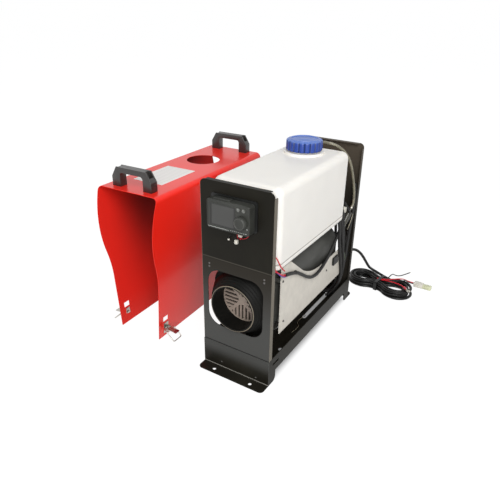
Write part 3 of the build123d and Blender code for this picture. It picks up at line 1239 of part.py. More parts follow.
def main():
    """Build every sub-part and write its file."""
    os.makedirs("parts", exist_ok=True)
    save(base_tray(), "base_tray")
    save(front_panel(), "front_panel")
    save(rear_panel(), "rear_panel")
    save(tank_shelf(), "tank_shelf")
    save(Compound(frame_fasteners()), "frame_fasteners")
    save(fuel_tank(), "fuel_tank")
    save(tank_cap(), "tank_cap")
    save(cap_seal(), "cap_seal")
    save(fuel_pickup(), "fuel_pickup")
    save(fuel_hose(), "fuel_hose")
    save(fuel_filter(), "fuel_filter")
    save(fuel_pump(), "fuel_pump")
    save(pump_plunger(), "pump_plunger")
    save(pump_holder(), "pump_holder")
    save(Compound(fuel_lines()), "fuel_lines")
    save(heater_shell(True), "heater_upper_shell")
    save(heater_shell(False), "heater_lower_shell")
    save(outlet_nozzle(), "outlet_nozzle")
    save(outlet_grille(), "outlet_grille")
    save(heat_exchanger(), "heat_exchanger")
    save(burner_tube(), "burner_tube")
    save(glow_plug(), "glow_plug")
    save(blower_motor(), "blower_motor")
    save(motor_shaft(), "motor_shaft")
    save(air_fan(), "air_fan")
    save(combustion_fan(), "combustion_fan")
    save(control_unit(), "control_unit")
    save(intake_guard(), "intake_guard")
    save(heater_pipe(EXHAUST_Y), "exhaust_pipe")
    save(heater_pipe(INTAKE_Y), "intake_pipe")
    save(Compound(heater_stand()), "heater_stand")
    save(heater_shield(), "heater_shield")
    save(controller_bracket(), "controller_bracket")
    save(controller_housing(), "controller_housing")
    save(display_window(), "display_window")
    save(encoder_shaft(), "encoder_shaft")
    save(menu_knob(), "menu_knob")
    save(push_button(POWER_X), "power_button")
    save(push_button(SET_X), "set_button")
    save(Compound(wiring_plugs()), "wiring_plugs")
    save(Compound(harness_loom()), "harness_loom")
    save(Compound(harness_leads()), "harness_leads")
    save(harness_clip(), "harness_clip")
    save(lead_gland(), "lead_gland")
    save(power_lead(), "power_lead")
    save(power_lead_hank(), "power_lead_hank")
    save(hank_tie(), "hank_tie")
    save(red_supply_wire(), "red_supply_wire")
    save(black_supply_wire(), "black_supply_wire")
    save(Compound(connector_wires()), "connector_wires")
    save(supply_connector(), "supply_connector")
    save(ring_terminal(), "ring_terminal")
    save(COVER_PLACE * cover_shell(), "cover_shell")
    save(Compound([COVER_PLACE * carry_handle(y) for y in HANDLE_PLACES]), "carry_handles")
    save(Compound([COVER_PLACE * piece for piece in cover_screws()]), "cover_screws")
    save(Compound([COVER_PLACE * latch_base(side) for side in (-1, 1)]), "latch_bases")
    for side, name in ((-1, "left"), (1, "right")):
        save(COVER_PLACE * latch_lever(side), "latch_lever_" + name)
        save(COVER_PLACE * latch_bail(side), "latch_bail_" + name)


if __name__ == "__main__":
    main()
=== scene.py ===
"""Diesel air heater: looks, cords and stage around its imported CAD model."""

import json
import math

import bmesh
import bpy
from bpy.props import FloatProperty, FloatVectorProperty, IntProperty, PointerProperty
from bpy.types import Operator, Panel, PropertyGroup
from mathutils import Matrix, Vector

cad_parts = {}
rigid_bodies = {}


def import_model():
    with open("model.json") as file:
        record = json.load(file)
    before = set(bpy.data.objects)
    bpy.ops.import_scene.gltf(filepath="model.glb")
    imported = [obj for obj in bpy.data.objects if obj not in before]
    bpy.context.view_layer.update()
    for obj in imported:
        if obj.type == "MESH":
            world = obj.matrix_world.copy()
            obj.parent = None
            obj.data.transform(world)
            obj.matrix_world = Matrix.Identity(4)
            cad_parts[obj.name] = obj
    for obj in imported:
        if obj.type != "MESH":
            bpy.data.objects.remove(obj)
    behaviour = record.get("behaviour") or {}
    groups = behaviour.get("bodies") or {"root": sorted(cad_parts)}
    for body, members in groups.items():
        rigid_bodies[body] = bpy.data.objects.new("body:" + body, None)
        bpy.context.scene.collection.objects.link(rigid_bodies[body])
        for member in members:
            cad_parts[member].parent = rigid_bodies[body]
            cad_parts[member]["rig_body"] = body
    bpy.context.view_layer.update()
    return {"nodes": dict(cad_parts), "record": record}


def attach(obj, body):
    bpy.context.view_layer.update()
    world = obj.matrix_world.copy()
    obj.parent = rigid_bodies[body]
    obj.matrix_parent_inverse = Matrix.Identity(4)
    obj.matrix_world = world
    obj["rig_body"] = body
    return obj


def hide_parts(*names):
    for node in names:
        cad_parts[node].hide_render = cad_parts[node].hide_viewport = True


bl_info = {
    "name": "Diesel air heater",
    "version": (1, 0, 0),
    "blender": (4, 5, 0),
    "location": "3D View > Sidebar > Air heater",
    "description": "Finishes, cords, fasteners and stage of the diesel air heater",
    "category": "Object",
}

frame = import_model()
MM = 0.001

# Places and lengths on the CAD model, in millimetres, with the hank's counts and corner angles.
FRONT_FACE = -197.5
REAR_FACE = 197.5
BOX_FACE = -216.5
MARK_FACE = BOX_FACE - 1.7
SHIELD_FACE = 67.0
MOUTH_FRONT, MOUTH_BACK = (-3.0, -205.0, 152.0), (-3.0, -180.0, 152.0)
CAP_CENTRE = (-6.0, 64.0)
CAP_LOW, CAP_HIGH, CAP_RADIUS = 395.0, 416.0, 37.5
LEAD_EXIT = (62.0, 205.5, 120.0)
HANK_X, HANK_Y, HANK_ANGLE = 124.0, 290.0, math.radians(-9.4)
HANK_LOW, HANK_LAYER, HANK_HIGH = 4.9, 7.6, 20.1
HANK_REACH, HANK_OUTER, HANK_STEP, HANK_DRAWN = 50.0, 36.5, 8.8, 13.5
HANK_TURNS, HANK_RUNS = 4, 12
HANK_CORNERS = (22.5, 67.5, 112.5, 157.5)
HANK_SHORTER = (0.0, 5.0, 2.0)
HANK_TAIL = 9.0
WIRE_SPREAD = 1.45
RING_WIRE_END = (193.5, 275.0, 27.2)
RING_HEADING = Vector((17.5, -11.5, -2.4)).normalized()
BARE_END = (170.6, 411.3, 1.4)
CONNECTOR_X, CONNECTOR_Y = 200.0, 350.0
CONNECTOR_POLE = 2.5
COVER_TOP, COVER_FOOT, COVER_SHOULDER = 330.0, 53.7, 76.5
COVER_LEAN = (COVER_SHOULDER - COVER_FOOT) / COVER_TOP
COVER_CORNER = 10.0
KNOB_PLACE, KNOB_FRONT = (24.0, 335.5), -225.7

# Where the cover stands beside the frame, in metres.
COVER_PLACE = Matrix.Translation((-0.2601, -0.0031, 0)) @ Matrix.Rotation(math.radians(1.8), 4, "Z")


def srgb(red, green, blue):
    """A colour read off a screen, 0 to 255, as the linear value that a shader takes."""
    levels = []
    for level in (red / 255, green / 255, blue / 255):
        levels.append(level / 12.92 if level <= 0.04045 else ((level + 0.055) / 1.055) ** 2.4)
    return (*levels, 1.0)


# ---- sizes and colours that a user may change ----
def colour(name, description, red, green, blue):
    """A colour property."""
    return FloatVectorProperty(name=name, description=description, subtype="COLOR", size=4,
                               min=0, max=1, default=srgb(red, green, blue))


class AirHeaterColours(PropertyGroup):
    """Colours of the heater's finishes."""

    frame: colour("Frame", "Powder-coated frame", 27, 25, 19)
    cover: colour("Cover", "Painted sheet cover", 248, 37, 22)
    tank: colour("Tank", "Moulded fuel tank", 247, 243, 236)
    cap: colour("Cap", "Tank's screw cap", 84, 116, 192)
    shield: colour("Shield", "Plate beside the casing", 212, 206, 195)
    casing: colour("Casing", "Heater casing", 62, 62, 58)
    hood: colour("Hood", "Warm-air hood", 15, 15, 13)
    grille: colour("Grille", "Guard in the warm-air mouth", 160, 144, 132)
    plastic: colour("Plastic", "Controller, handles and clips", 17, 18, 17)
    hose: colour("Hose", "Fuel hose", 150, 144, 124)


def span(name, description, default, low, high):
    """A length property, in metres."""
    return FloatProperty(name=name, description=description, default=default, min=low, max=high,
                         unit="LENGTH", precision=4)


def watts(name, description, default):
    """A lamp's power property."""
    return FloatProperty(name=name, description=description, default=default, min=0, max=500,
                         unit="POWER")


class AirHeaterSizes(PropertyGroup):
    """Sizes of the pieces that are modelled here, and the strength of the lights."""

    lead: span("Lead", "Diameter of the power lead", 0.007, 0.004, 0.008)
    wire: span("Wire", "Diameter of a supply wire", 0.0026, 0.001, 0.003)
    lobes: IntProperty(name="Cap lobes", description="Grip lobes round the tank's cap", default=20,
                       min=8, max=40)
    groove: span("Cap groove", "Depth of the grooves between the lobes", 0.0022, 0, 0.003)
    handle_edge: span("Handle edge", "Edge radius of the carrying handles", 0.0013, 0.0001, 0.0025)
    key_light: watts("Key light", "Power of the main lamp", 53)
    fill_light: watts("Fill light", "Power of the left lamp", 2.5)
    low_light: watts("Low light", "Power of the low right lamp", 13)
    sky: FloatProperty(name="Surroundings", description="Strength of the light from all round",
                       default=0.46, min=0, max=2)


def colours():
    return bpy.context.scene.air_heater_colours


def sizes():
    return bpy.context.scene.air_heater_sizes


# ---- shader maths ----
class Value:
    """A shader socket in a sum: each operator adds one Math node."""

    def __init__(self, tree, socket):
        self.tree = tree
        self.socket = socket

    def math(self, operation, *values):
        return self.tree.node("ShaderNodeMath", {"operation": operation}, dict(enumerate(values)))

    def __add__(self, other):
        return self.math("ADD", self, other)

    def __radd__(self, other):
        return self.math("ADD", other, self)

    def __sub__(self, other):
        return self.math("SUBTRACT", self, other)

    def __rsub__(self, other):
        return self.math("SUBTRACT", other, self)

    def __mul__(self, other):
        return self.math("MULTIPLY", self, other)

    def __abs__(self):
        return self.math("ABSOLUTE", self)

    def root(self):
        return self.math("SQRT", self)

    def at_least(self, other):
        return self.math("MAXIMUM", self, other)

    def ramp(self, low, high):
        """0 below low, 1 above high, with a soft step between; low may be the larger."""
        return self.tree.node("ShaderNodeMapRange", {"interpolation_type": "SMOOTHSTEP"},
                              {0: self, 1: low, 2: high, 3: 0.0, 4: 1.0})

    def near(self, place, reach):
        """1 at a place, falling to 0 within reach of it."""
        return 1 - abs(self - place).ramp(0.0, reach)


class Tree:
    """A node tree under construction."""

    def __init__(self, tree):
        self.tree = tree
        tree.nodes.clear()

    def node(self, kind, settings=None, inputs=None, output=0):
        """Adds a node of a kind, sets it up, feeds its sockets, and gives one of its outputs."""
        node = self.tree.nodes.new(kind)
        for key, value in (settings or {}).items():
            setattr(node, key, value)
        for key, value in (inputs or {}).items():
            if isinstance(value, Value):
                self.tree.links.new(value.socket, node.inputs[key])
            else:
                node.inputs[key].default_value = value
        return Value(self, node.outputs[output])

    def seen(self):
        """1 for what the camera sees straight, in gloss or through glass, and 0 for other light."""
        camera, gloss, glass = (self.node("ShaderNodeLightPath", output=ray) for ray in
                                ("Is Camera Ray", "Is Glossy Ray", "Is Transmission Ray"))
        return camera.at_least(gloss).at_least(glass)

    def blend(self, share, first, second):
        """One shader into another by a share from 0 to 1."""
        return self.node("ShaderNodeMixShader", None, {0: share, 1: first, 2: second})

    def close(self, kind, shader):
        """Links a shader to the tree's output node."""
        output = self.tree.nodes.new(kind)
        self.tree.links.new(shader.socket, output.inputs["Surface"])


class Finish(Tree):
    """A material under construction."""

    def __init__(self, name):
        self.material = bpy.data.materials.new(name)
        self.material.use_nodes = True
        super().__init__(self.material.node_tree)
        self.point = self.node("ShaderNodeTexCoord", output="Object")

    def placed(self, scale=(1, 1, 1), turn=(0, 0, 0), centre=(0, 0, 0)):
        """The point on the surface, moved to a centre, turned and stretched."""
        return self.node("ShaderNodeMapping", {"vector_type": "POINT"},
                         {"Vector": self.point, "Location": centre, "Rotation": turn, "Scale": scale})

    def on_cover(self):
        """The point on the surface, in the cover's own frame."""
        place = COVER_PLACE.inverted()
        return self.placed(turn=place.to_euler(), centre=place.translation)

    def axis(self, name, vector=None):
        return self.node("ShaderNodeSeparateXYZ", None, {0: vector or self.point}, name)

    def noise(self, scale, detail=2.0, rough=0.5, vector=None):
        return self.node("ShaderNodeTexNoise", None,
                         {"Vector": vector or self.point, "Scale": scale, "Detail": detail,
                          "Roughness": rough})

    def cells(self, scale):
        return self.node("ShaderNodeTexVoronoi", None, {"Vector": self.point, "Scale": scale}, "Distance")

    def mix(self, share, first, second):
        """One colour into another by a share from 0 to 1."""
        return self.node("ShaderNodeMix", {"data_type": "RGBA"}, {0: share, 6: first, 7: second}, 2)

    def clouded(self, tint, share, dark, light):
        """A tint that drifts between a darker and a lighter shade of itself."""
        return self.mix(share, shaded(tint, dark), shaded(tint, light))

    def coats(self, base, *layers):
        """A base colour under layers, each of them a share and a colour."""
        for share, layer in layers:
            base = self.mix(share, base, layer)
        return base

    def surface(self, base, roughness, relief=None, **sockets):
        """The finish's one shader; relief is a height, its strength and its depth in metres."""
        inputs = {key.replace("_", " "): value for key, value in sockets.items()}
        inputs.update({"Base Color": base, "Roughness": roughness})
        if relief:
            inputs["Normal"] = self.node("ShaderNodeBump", None,
                                         dict(zip(("Height", "Strength", "Distance"), relief)))
        self.close("ShaderNodeOutputMaterial", self.node("ShaderNodeBsdfPrincipled", None, inputs))
        return self.material


def shaded(value, factor):
    """A colour made darker or lighter by a factor."""
    return (*(min(1.0, level * factor) for level in value[:3]), 1.0)


def powder_coat(name, paint, reflection_low_z=None):
    """Semi-gloss black powder coat: fine orange peel, faint clouds and rubbed patches, with painted
    highlights, reflections and shade on the frame and panels.
    """
    finish = Finish(name)
    peel = finish.noise(1500, 2, 0.6)
    cloud = finish.noise(9, 3, 0.6)
    rubs = finish.noise(60, 4, 0.7, finish.placed((1, 1, 0.12))).ramp(0.62, 0.78)
    height, depth = finish.axis("Z"), finish.axis("Y")
    base = finish.clouded(paint, cloud.ramp(0.35, 0.7), 0.8, 1.3)
    if reflection_low_z is None:
        # Frame: a painted highlight along the bend at the tray's foot, and a painted reflection that greys
        # the tray's front face.
        bend_highlight = height.near(0.003, 0.0016) * depth.ramp(-0.1975, -0.1985)
        front = height.ramp(0.022, 0.05) * depth.ramp(-0.196, -0.198)
        base = finish.coats(base, (bend_highlight * 0.7, srgb(172, 168, 160)), (front * 0.9, srgb(70, 70, 68)))
    else:
        # Painted reflection: the side flanges show paler.
        flange_reflection = abs(finish.axis("X")).ramp(0.0741, 0.0748)
        # The rear panel's inner face: a mottled brownish grey, darker toward the bottom.
        inner = depth.ramp(0.1971, 0.1964) * depth.ramp(0.10, 0.15)
        inner_face_tone = finish.mix(cloud, srgb(68, 60, 51), srgb(86, 79, 69))
        base = finish.coats(
            # Painted reflections: a lighter band below the crease, and a grey that grows toward the bottom
            # between the two given heights.
            base, (height.ramp(0.246, 0.238) * 0.8, srgb(44, 40, 34)),
            (height.ramp(reflection_low_z[1], reflection_low_z[0]), srgb(72, 72, 70)),
            # Painted shade: a dark line in the seam above the base plate.
            (height.near(0.0578, 0.0014), srgb(10, 10, 9)),
            # Painted highlight: a pale line along the crease.
            (height.near(0.2432, 0.0016) * 0.5, srgb(92, 88, 80)), (flange_reflection, srgb(112, 106, 95)),
            (inner, finish.mix(height.ramp(0.26, 0.38), srgb(40, 37, 32), inner_face_tone)))
    base = finish.mix(rubs * 0.3, base, shaded(paint, 3.0))
    return finish.surface(base, 0.42 + cloud * 0.12 + rubs * 0.1, (peel, 0.12, 0.0002),
                          Specular_IOR_Level=0.13)


def gloss_paint(name, paint):
    """Glossy red paint on bent sheet: thin clear top, faint dull clouds, a painted pale reflection toward
    the foot, and painted shade inside, where the paint is also dull.
    """
    finish = Finish(name)
    peel = finish.noise(420, 2, 0.5)
    cloud = finish.noise(4, 2, 0.5)
    height, local = finish.axis("Z"), finish.on_cover()
    across, along = abs(finish.axis("X", local)), abs(finish.axis("Y", local))
    corner = COVER_CORNER * MM
    wall = COVER_FOOT * MM + height * round(COVER_LEAN, 4) - corner
    beyond = (across - wall).at_least(0.0)
    above = (height - (COVER_TOP * MM - corner)).at_least(0.0)
    depth = (beyond * beyond + above * above).root() - corner
    inside = depth.ramp(-0.0004, -0.0008)
    # Painted shade inside the cover, deepest far from the open ends and high up.
    shade = along.ramp(0.19, 0.07) * height.ramp(0.04, 0.28)
    # A pale pink toward the foot is a painted reflection of the floor; the painted shade inside follows.
    base = finish.coats(
        finish.clouded(paint, cloud.ramp(0.3, 0.75), 0.94, 1.04),
        (height.ramp(0.07, 0.0) * 0.25, srgb(206, 84, 76)),
        (inside * (0.16 + shade * 0.8), shaded(paint, 0.2)))
    return finish.surface(base, 0.3 + cloud * 0.06 + inside * 0.4, (peel, 0.05, 0.0003),
                          Coat_Weight=0.22 - inside * 0.22, Coat_Roughness=0.1, Specular_IOR_Level=0.3)


def blown_tank(name, tint):
    """Blow-moulded tank: milky, slightly uneven wall, seam above the bottom and a paler foot."""
    finish = Finish(name)
    wave = finish.noise(14, 2, 0.5)
    grain = finish.noise(700, 2, 0.5)
    height = finish.axis("Z")
    seam = height.near(0.2468, 0.0021)
    base = finish.coats(
        finish.mix(wave.ramp(0.3, 0.72), shaded(tint, 0.97), tint),
        (height.ramp(0.33, 0.24) * 0.5, shaded(tint, 0.93)),
        (height.ramp(0.2475, 0.2455) * 0.55, shaded(tint, 1.07)), (seam * 0.9, srgb(150, 143, 134)))
    relief = wave * 0.7 + grain * 0.05 - seam * 0.35
    return finish.surface(base, 0.4 + wave * 0.12, (relief, 0.35, 0.0012), Subsurface_Weight=0.12,
                          Subsurface_Radius=(1.0, 0.9, 0.75), Subsurface_Scale=0.004)


def moulded(name, tint, roughness=0.45, grain=900, strength=0.25, level=0.4):
    """Moulded plastic with a fine eroded grain and slightly shinier worn patches."""
    finish = Finish(name)
    pits = finish.noise(grain, 3, 0.6)
    cloud = finish.noise(24, 3, 0.6)
    base = finish.clouded(tint, cloud.ramp(0.35, 0.7), 0.86, 1.2)
    return finish.surface(base, roughness + cloud * 0.14 - 0.05, (pits, strength, 0.0002),
                          Specular_IOR_Level=level)


def cap_moulding(name, tint):
    """The cap's glossy moulding, with painted shade on its skirt and down in the grooves between its lobes.
    """
    finish = Finish(name)
    centred = finish.placed(centre=(-CAP_CENTRE[0] * MM, -CAP_CENTRE[1] * MM, 0))
    across, depth = finish.axis("X", centred), finish.axis("Y", centred)
    away = (across * across + depth * depth).root()
    cloud = finish.noise(60, 3, 0.6)
    skirt = finish.axis("Z").ramp(0.4155, 0.4125)
    grooves = away.ramp(0.0372, 0.0358) * skirt
    # Painted shade: the skirt in a darker, deeper blue, and darker still in the grooves.
    base = finish.coats(finish.clouded(tint, cloud, 0.9, 1.1), (skirt, srgb(10, 56, 146)),
                        (grooves * 0.75, shaded(tint, 0.14)))
    return finish.surface(base, 0.3 + cloud * 0.12, (finish.noise(600, 3, 0.6), 0.1, 0.0002),
                          Specular_IOR_Level=0.6)


def rubber(name, tint):
    """Dull rubber with dust in its pores."""
    finish = Finish(name)
    grey_share = finish.noise(40, 4, 0.7).ramp(0.5, 0.8)
    base = finish.mix(grey_share * 0.3, tint, srgb(84, 82, 78))
    return finish.surface(base, 0.7 + grey_share * 0.15, (finish.cells(1600), 0.3, 0.0002),
                          Specular_IOR_Level=0.3)


def drawn_metal(name, tint, roughness=0.3, stretch=(1, 1, 24), stain=0.3):
    """Metal with fine lines from drawing or rolling and a few dull stains."""
    finish = Finish(name)
    lines = finish.noise(260, 3, 0.6, finish.placed(stretch))
    cloud = finish.noise(35, 4, 0.65)
    base = finish.mix(cloud.ramp(0.45, 0.75) * stain, tint, shaded(tint, 0.45))
    return finish.surface(base, roughness + lines * 0.15 + cloud * 0.1, (lines, 0.15, 0.0001),
                          Metallic=1.0)


def cast_metal(name, tint):
    """Sand-cast alloy: coarse skin and dark hollows."""
    finish = Finish(name)
    skin = finish.noise(500, 5, 0.75)
    base = finish.mix(finish.noise(30, 4, 0.7).ramp(0.35, 0.7), tint, shaded(tint, 0.4))
    return finish.surface(base, 0.55 + skin * 0.2, (skin, 0.5, 0.0004), Metallic=0.85)


def coated_sheet(name, tint):
    """Pale coated sheet: faint mottling, handling marks, dark specks, and a deeper tone toward its lower
    edge.
    """
    finish = Finish(name)
    mottle = finish.noise(55, 5, 0.7)
    marks = finish.noise(34, 4, 0.75).ramp(0.62, 0.8)
    specks = finish.cells(130).ramp(0.075, 0.04) * finish.noise(18, 2).ramp(0.55, 0.62)
    # Darker toward the lower edge.
    grey_share = finish.axis("Z").ramp(0.135, 0.088)
    base = finish.coats(
        finish.clouded(tint, mottle.ramp(0.3, 0.7), 0.93, 1.05), (marks * 0.1, srgb(150, 142, 130)),
        (grey_share * 0.2, srgb(146, 138, 126)), (specks * 0.6, srgb(92, 84, 74)))
    return finish.surface(base, 0.42 + mottle * 0.16, (mottle, 0.1, 0.0003))


def clear_hose(name, tint):
    """Milky fuel hose: fuel-tinted core, glossy skin."""
    finish = Finish(name)
    cloud = finish.noise(70, 3, 0.6)
    base = finish.clouded(tint, cloud.ramp(0.3, 0.7), 0.8, 1.25)
    return finish.surface(base, 0.18 + cloud * 0.1, (cloud, 0.1, 0.0003), Transmission_Weight=0.35,
                          IOR=1.45)


def blank_sheet(name, tint):
    """Unprinted plastic sheet with faint ruled lines."""
    finish = Finish(name)
    local = finish.on_cover()
    along = finish.axis("Y", local)
    rules = along.math("PINGPONG", along, 0.004).ramp(0.0026, 0.0036)
    inset = finish.axis("X", local).near(-0.005, 0.034).ramp(0.0, 0.1)
    cloud = finish.noise(40, 2, 0.5)
    base = finish.mix(rules * inset * 0.3, tint, srgb(150, 146, 144))
    return finish.surface(base, 0.35 + cloud * 0.1, (cloud, 0.05, 0.0003))


def screen_glass(name, tint):
    """Unlit display behind glass: a paler field inside a dark margin."""
    finish = Finish(name)
    across = finish.axis("X").near(-0.0145, 0.0262)
    up = finish.axis("Z").near(0.339, 0.0212)
    field = across.ramp(0.02, 0.1) * up.ramp(0.02, 0.12)
    haze = finish.noise(30, 3, 0.5)
    base = finish.mix(field, srgb(34, 34, 32), finish.clouded(tint, haze, 0.85, 1.2))
    return finish.surface(base, 0.16 + haze * 0.05, Specular_IOR_Level=0.5)


def cable_jacket(name, tint, roughness=0.38):
    """Flexible cable jacket with faint drawing lines and scuffs."""
    finish = Finish(name)
    skin = finish.noise(380, 3, 0.6)
    scuff = finish.noise(90, 4, 0.7).ramp(0.55, 0.8)
    base = finish.mix(scuff * 0.35, tint, shaded(tint, 2.2))
    return finish.surface(base, roughness + scuff * 0.2, (skin, 0.12, 0.0002), Specular_IOR_Level=0.24)


def braided_sleeve(name, tint):
    """Woven sleeve round a loom: two crossing sets of threads."""
    finish = Finish(name)
    first, second = (
        finish.node("ShaderNodeTexWave", {"wave_type": "BANDS", "bands_direction": "DIAGONAL"},
                    {"Vector": finish.placed(lay), "Scale": 170, "Distortion": 1.5}, "Fac")
        for lay in ((1, 1, 1), (-1, 1, -1)))
    weave = first * second
    base = finish.clouded(tint, weave, 0.7, 1.7)
    return finish.surface(base, 0.55 + weave * 0.1, (weave, 0.45, 0.0004), Specular_IOR_Level=0.35)


# Each slot's finish, its tint (a colour property or a screen colour) and its settings.
FINISH_OF = {
    "frame_black": (powder_coat, "frame"),
    # The two heights, in metres, between which the panels' painted reflection grows lighter toward the
    # bottom.
    "panel_black": (powder_coat, "frame", (0.11, 0.24)),
    "dark_screws": (drawn_metal, (96, 94, 92), 0.35),
    "tank_white": (blown_tank, "tank"),
    "cap_blue": (cap_moulding, "cap"),
    "rubber_black": (rubber, (26, 26, 25)),
    "plastic_black": (moulded, "plastic"),
    "hose_clear": (clear_hose, "hose"),
    "filter_clear": (clear_hose, (74, 72, 62)),
    "pump_metal": (drawn_metal, (176, 174, 168), 0.32, (24, 1, 1)),
    "steel": (drawn_metal, (150, 148, 142), 0.35),
    "line_green": (cable_jacket, (62, 74, 50), 0.3),
    "casing_grey": (moulded, "casing", 0.5, 500, 0.35),
    "hood_black": (moulded, "hood", 0.5, 420, 0.3, 0.12),
    "grille_tan": (coated_sheet, "grille"),
    "cast_alloy": (cast_metal, (120, 118, 112)),
    "motor_metal": (drawn_metal, (140, 138, 134), 0.4),
    "shield_beige": (coated_sheet, "shield"),
    "controller_black": (moulded, (50, 51, 47), 0.4, 1300, 0.2, 0.4),
    "screen_grey": (screen_glass, (62, 62, 60)),
    "button_grey": (moulded, (84, 84, 80), 0.4, 1300, 0.2),
    "plug_white": (moulded, (226, 222, 210), 0.36, 500, 0.1, 0.5),
    "loom_black": (braided_sleeve, (30, 29, 28)),
    "lead_red": (cable_jacket, (206, 34, 48), 0.34),
    "cable_black": (cable_jacket, (13, 13, 12)),
    "terminal": (drawn_metal, (200, 196, 186), 0.25, (1, 1, 1)),
    "cover_red": (gloss_paint, "cover"),
    "handle_black": (moulded, (38, 34, 32), 0.34, 700, 0.35, 0.75),
    "latch_steel": (drawn_metal, (190, 186, 178), 0.28),
    "mark_white": (moulded, (214, 216, 212), 0.5, 900, 0.1),
    "sticker_white": (blank_sheet, (242, 238, 234)),
    # The tan of the ring on the hood's lip: a painted highlight.
    "rim_tan": (moulded, (118, 108, 92), 0.4, 420, 0.2),
    "mark_grey": (moulded, (150, 152, 148), 0.5, 900, 0.1),
    "sleeve_pink": (moulded, (206, 74, 84), 0.35, 700, 0.1, 0.5),
    "connector_yellow": (moulded, (220, 222, 186), 0.36, 500, 0.1, 0.5),
    "lead_violet": (cable_jacket, (84, 66, 168), 0.34),
    "grip_maroon": (moulded, (118, 22, 26), 0.4, 600, 0.2, 0.5),
    "wire_pale": (drawn_metal, (150, 142, 122), 0.35, (1, 1, 1), 0.2),
}


def finish_for(slot):
    """The material of a slot, made once."""
    name = slot + "_finish"
    if name not in bpy.data.materials:
        make, tint, *settings = FINISH_OF[slot]
        make(name, getattr(colours(), tint) if isinstance(tint, str) else srgb(*tint), *settings)
    return bpy.data.materials[name]


# ---- shapes ----
def mm(x, y, z):
    """A point given in millimetres."""
    return Vector((x, y, z)) * MM


def new_faces(shape, before):
    return [face for face in shape.faces if face not in before]


def add_block(shape, low, high, edge=0.0, segments=2):
    """A block between two corners in millimetres, with rounded edges."""
    low, high = mm(*low), mm(*high)
    place = Matrix.Translation((low + high) / 2) @ Matrix.Diagonal((*(high - low), 1))
    verts = bmesh.ops.create_cube(shape, size=1, matrix=place)["verts"]
    if edge:
        edges = list({e for vert in verts for e in vert.link_edges})
        bmesh.ops.bevel(shape, geom=edges, offset=edge * MM, segments=segments, profile=0.5,
                        affect="EDGES", material=-1)


def add_turned(shape, profile, start, end, steps):
    """A turned part about the line from start to end; profile is (distance, radius) in millimetres."""
    origin = mm(*start)
    axis = (mm(*end) - origin).normalized()
    side = axis.orthogonal().normalized()
    before = set(shape.faces)
    verts = [shape.verts.new(origin + axis * d * MM + side * r * MM) for d, r in profile]
    edges = [shape.edges.new(pair) for pair in zip(verts, verts[1:])]
    bmesh.ops.spin(shape, geom=verts + edges, cent=origin, axis=axis, angle=2 * math.pi,
                   steps=steps, use_merge=True)
    faces = new_faces(shape, before)
    verts = list({vert for face in faces for vert in face.verts})
    bmesh.ops.remove_doubles(shape, verts=verts, dist=1e-6)
    bmesh.ops.recalc_face_normals(shape, faces=new_faces(shape, before))


def finished(name, shape, slot, body="frame", replaces=(), sharp=35):
    """Makes a piece of a shape: its finish, its body and the CAD nodes that it stands for."""
    mesh = bpy.data.meshes.new(name)
    shape.to_mesh(mesh)
    shape.free()
    mesh.polygons.foreach_set("use_smooth", [True] * len(mesh.polygons))
    mesh.set_sharp_from_angle(angle=math.radians(sharp))
    return settled(name, mesh, slot, body, replaces)


def settled(name, data, slot, body, replaces=()):
    """Links a mesh or curve as a piece that rides a body."""
    data.materials.append(finish_for(slot))
    piece = bpy.data.objects.new(name, data)
    bpy.context.scene.collection.objects.link(piece)
    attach(piece, body)
    slot in RECORD_SLOTS
    if replaces:
        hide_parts(*replaces)
    return piece


RECORD_SLOTS = {entry["slot"] for entry in frame["record"]["materials"]}


def strand(name, points, diameter, slot, replaces=()):
    """A smooth cord on the frame, drawn by its control points, which are in millimetres."""
    curve = bpy.data.curves.new(name, "CURVE")
    curve.dimensions = "3D"
    spline = curve.splines.new("NURBS")
    spline.points.add(len(points) - 1)
    for knot, point in zip(spline.points, points):
        knot.co = (*mm(*point), 1)
    spline.order_u = 3
    spline.use_endpoint_u = True
    spline.resolution_u = 10
    spline.use_smooth = True
    curve.bevel_depth = diameter / 2
    curve.bevel_resolution = 4
    curve.use_fill_caps = True
    return settled(name, curve, slot, "frame", replaces)


def strands(*rows):
    """A fixed wire or loom for each row: its name, diameter in metres, slot and points."""
    for name, diameter, slot, points in rows:
        strand(name, points, diameter, slot)


def softened(node, width, slot, segments):
    """A copy of a CAD node with its edges rounded, which stands for the node."""
    source = frame["nodes"][node]
    shape = bmesh.new()
    shape.from_mesh(source.data)
    bmesh.ops.remove_doubles(shape, verts=shape.verts, dist=1e-6)
    bmesh.ops.dissolve_limit(shape, angle_limit=math.radians(0.6), verts=shape.verts, edges=shape.edges)
    edges = [edge for edge in shape.edges
             if edge.is_manifold and edge.calc_face_angle(0) > math.radians(30)]
    bmesh.ops.bevel(shape, geom=edges, offset=width, segments=segments, profile=0.5,
                    affect="EDGES", material=-1, clamp_overlap=True)
    return finished(node + "_piece", shape, slot, source["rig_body"], (node,))


def flute(shape, centre, plane, inner, depth_at):
    """Moves what lies beyond a radius toward the axis, by depth_at(angle, distance) in metres."""
    for vert in shape.verts:
        across = vert.co - centre
        offsets = [across[axis] for axis in plane]
        away = math.hypot(*offsets)
        if away > inner * MM:
            depth = depth_at(math.atan2(offsets[1], offsets[0]), away)
            for axis, offset in zip(plane, offsets):
                vert.co[axis] -= offset / away * depth


# ---- cords ----
def hank_point(along, across, height):
    """A point of the hank: along it, across it, and its height."""
    x = HANK_X + along * math.cos(HANK_ANGLE) - across * math.sin(HANK_ANGLE)
    y = HANK_Y + along * math.sin(HANK_ANGLE) + across * math.cos(HANK_ANGLE)
    return (x, y, height)


def hank_offset(run):
    steps = HANK_TURNS - abs(HANK_TURNS - run % (2 * HANK_TURNS))
    return HANK_OUTER - steps * HANK_STEP / 2


def hank_height(run):
    return HANK_LOW + HANK_LAYER * min(run // HANK_TURNS, len(HANK_SHORTER) - 1)


def hank_reach(run):
    return HANK_REACH - HANK_SHORTER[(run - 1) // HANK_TURNS]


def sheath_end():
    return hank_offset(HANK_RUNS) - HANK_DRAWN


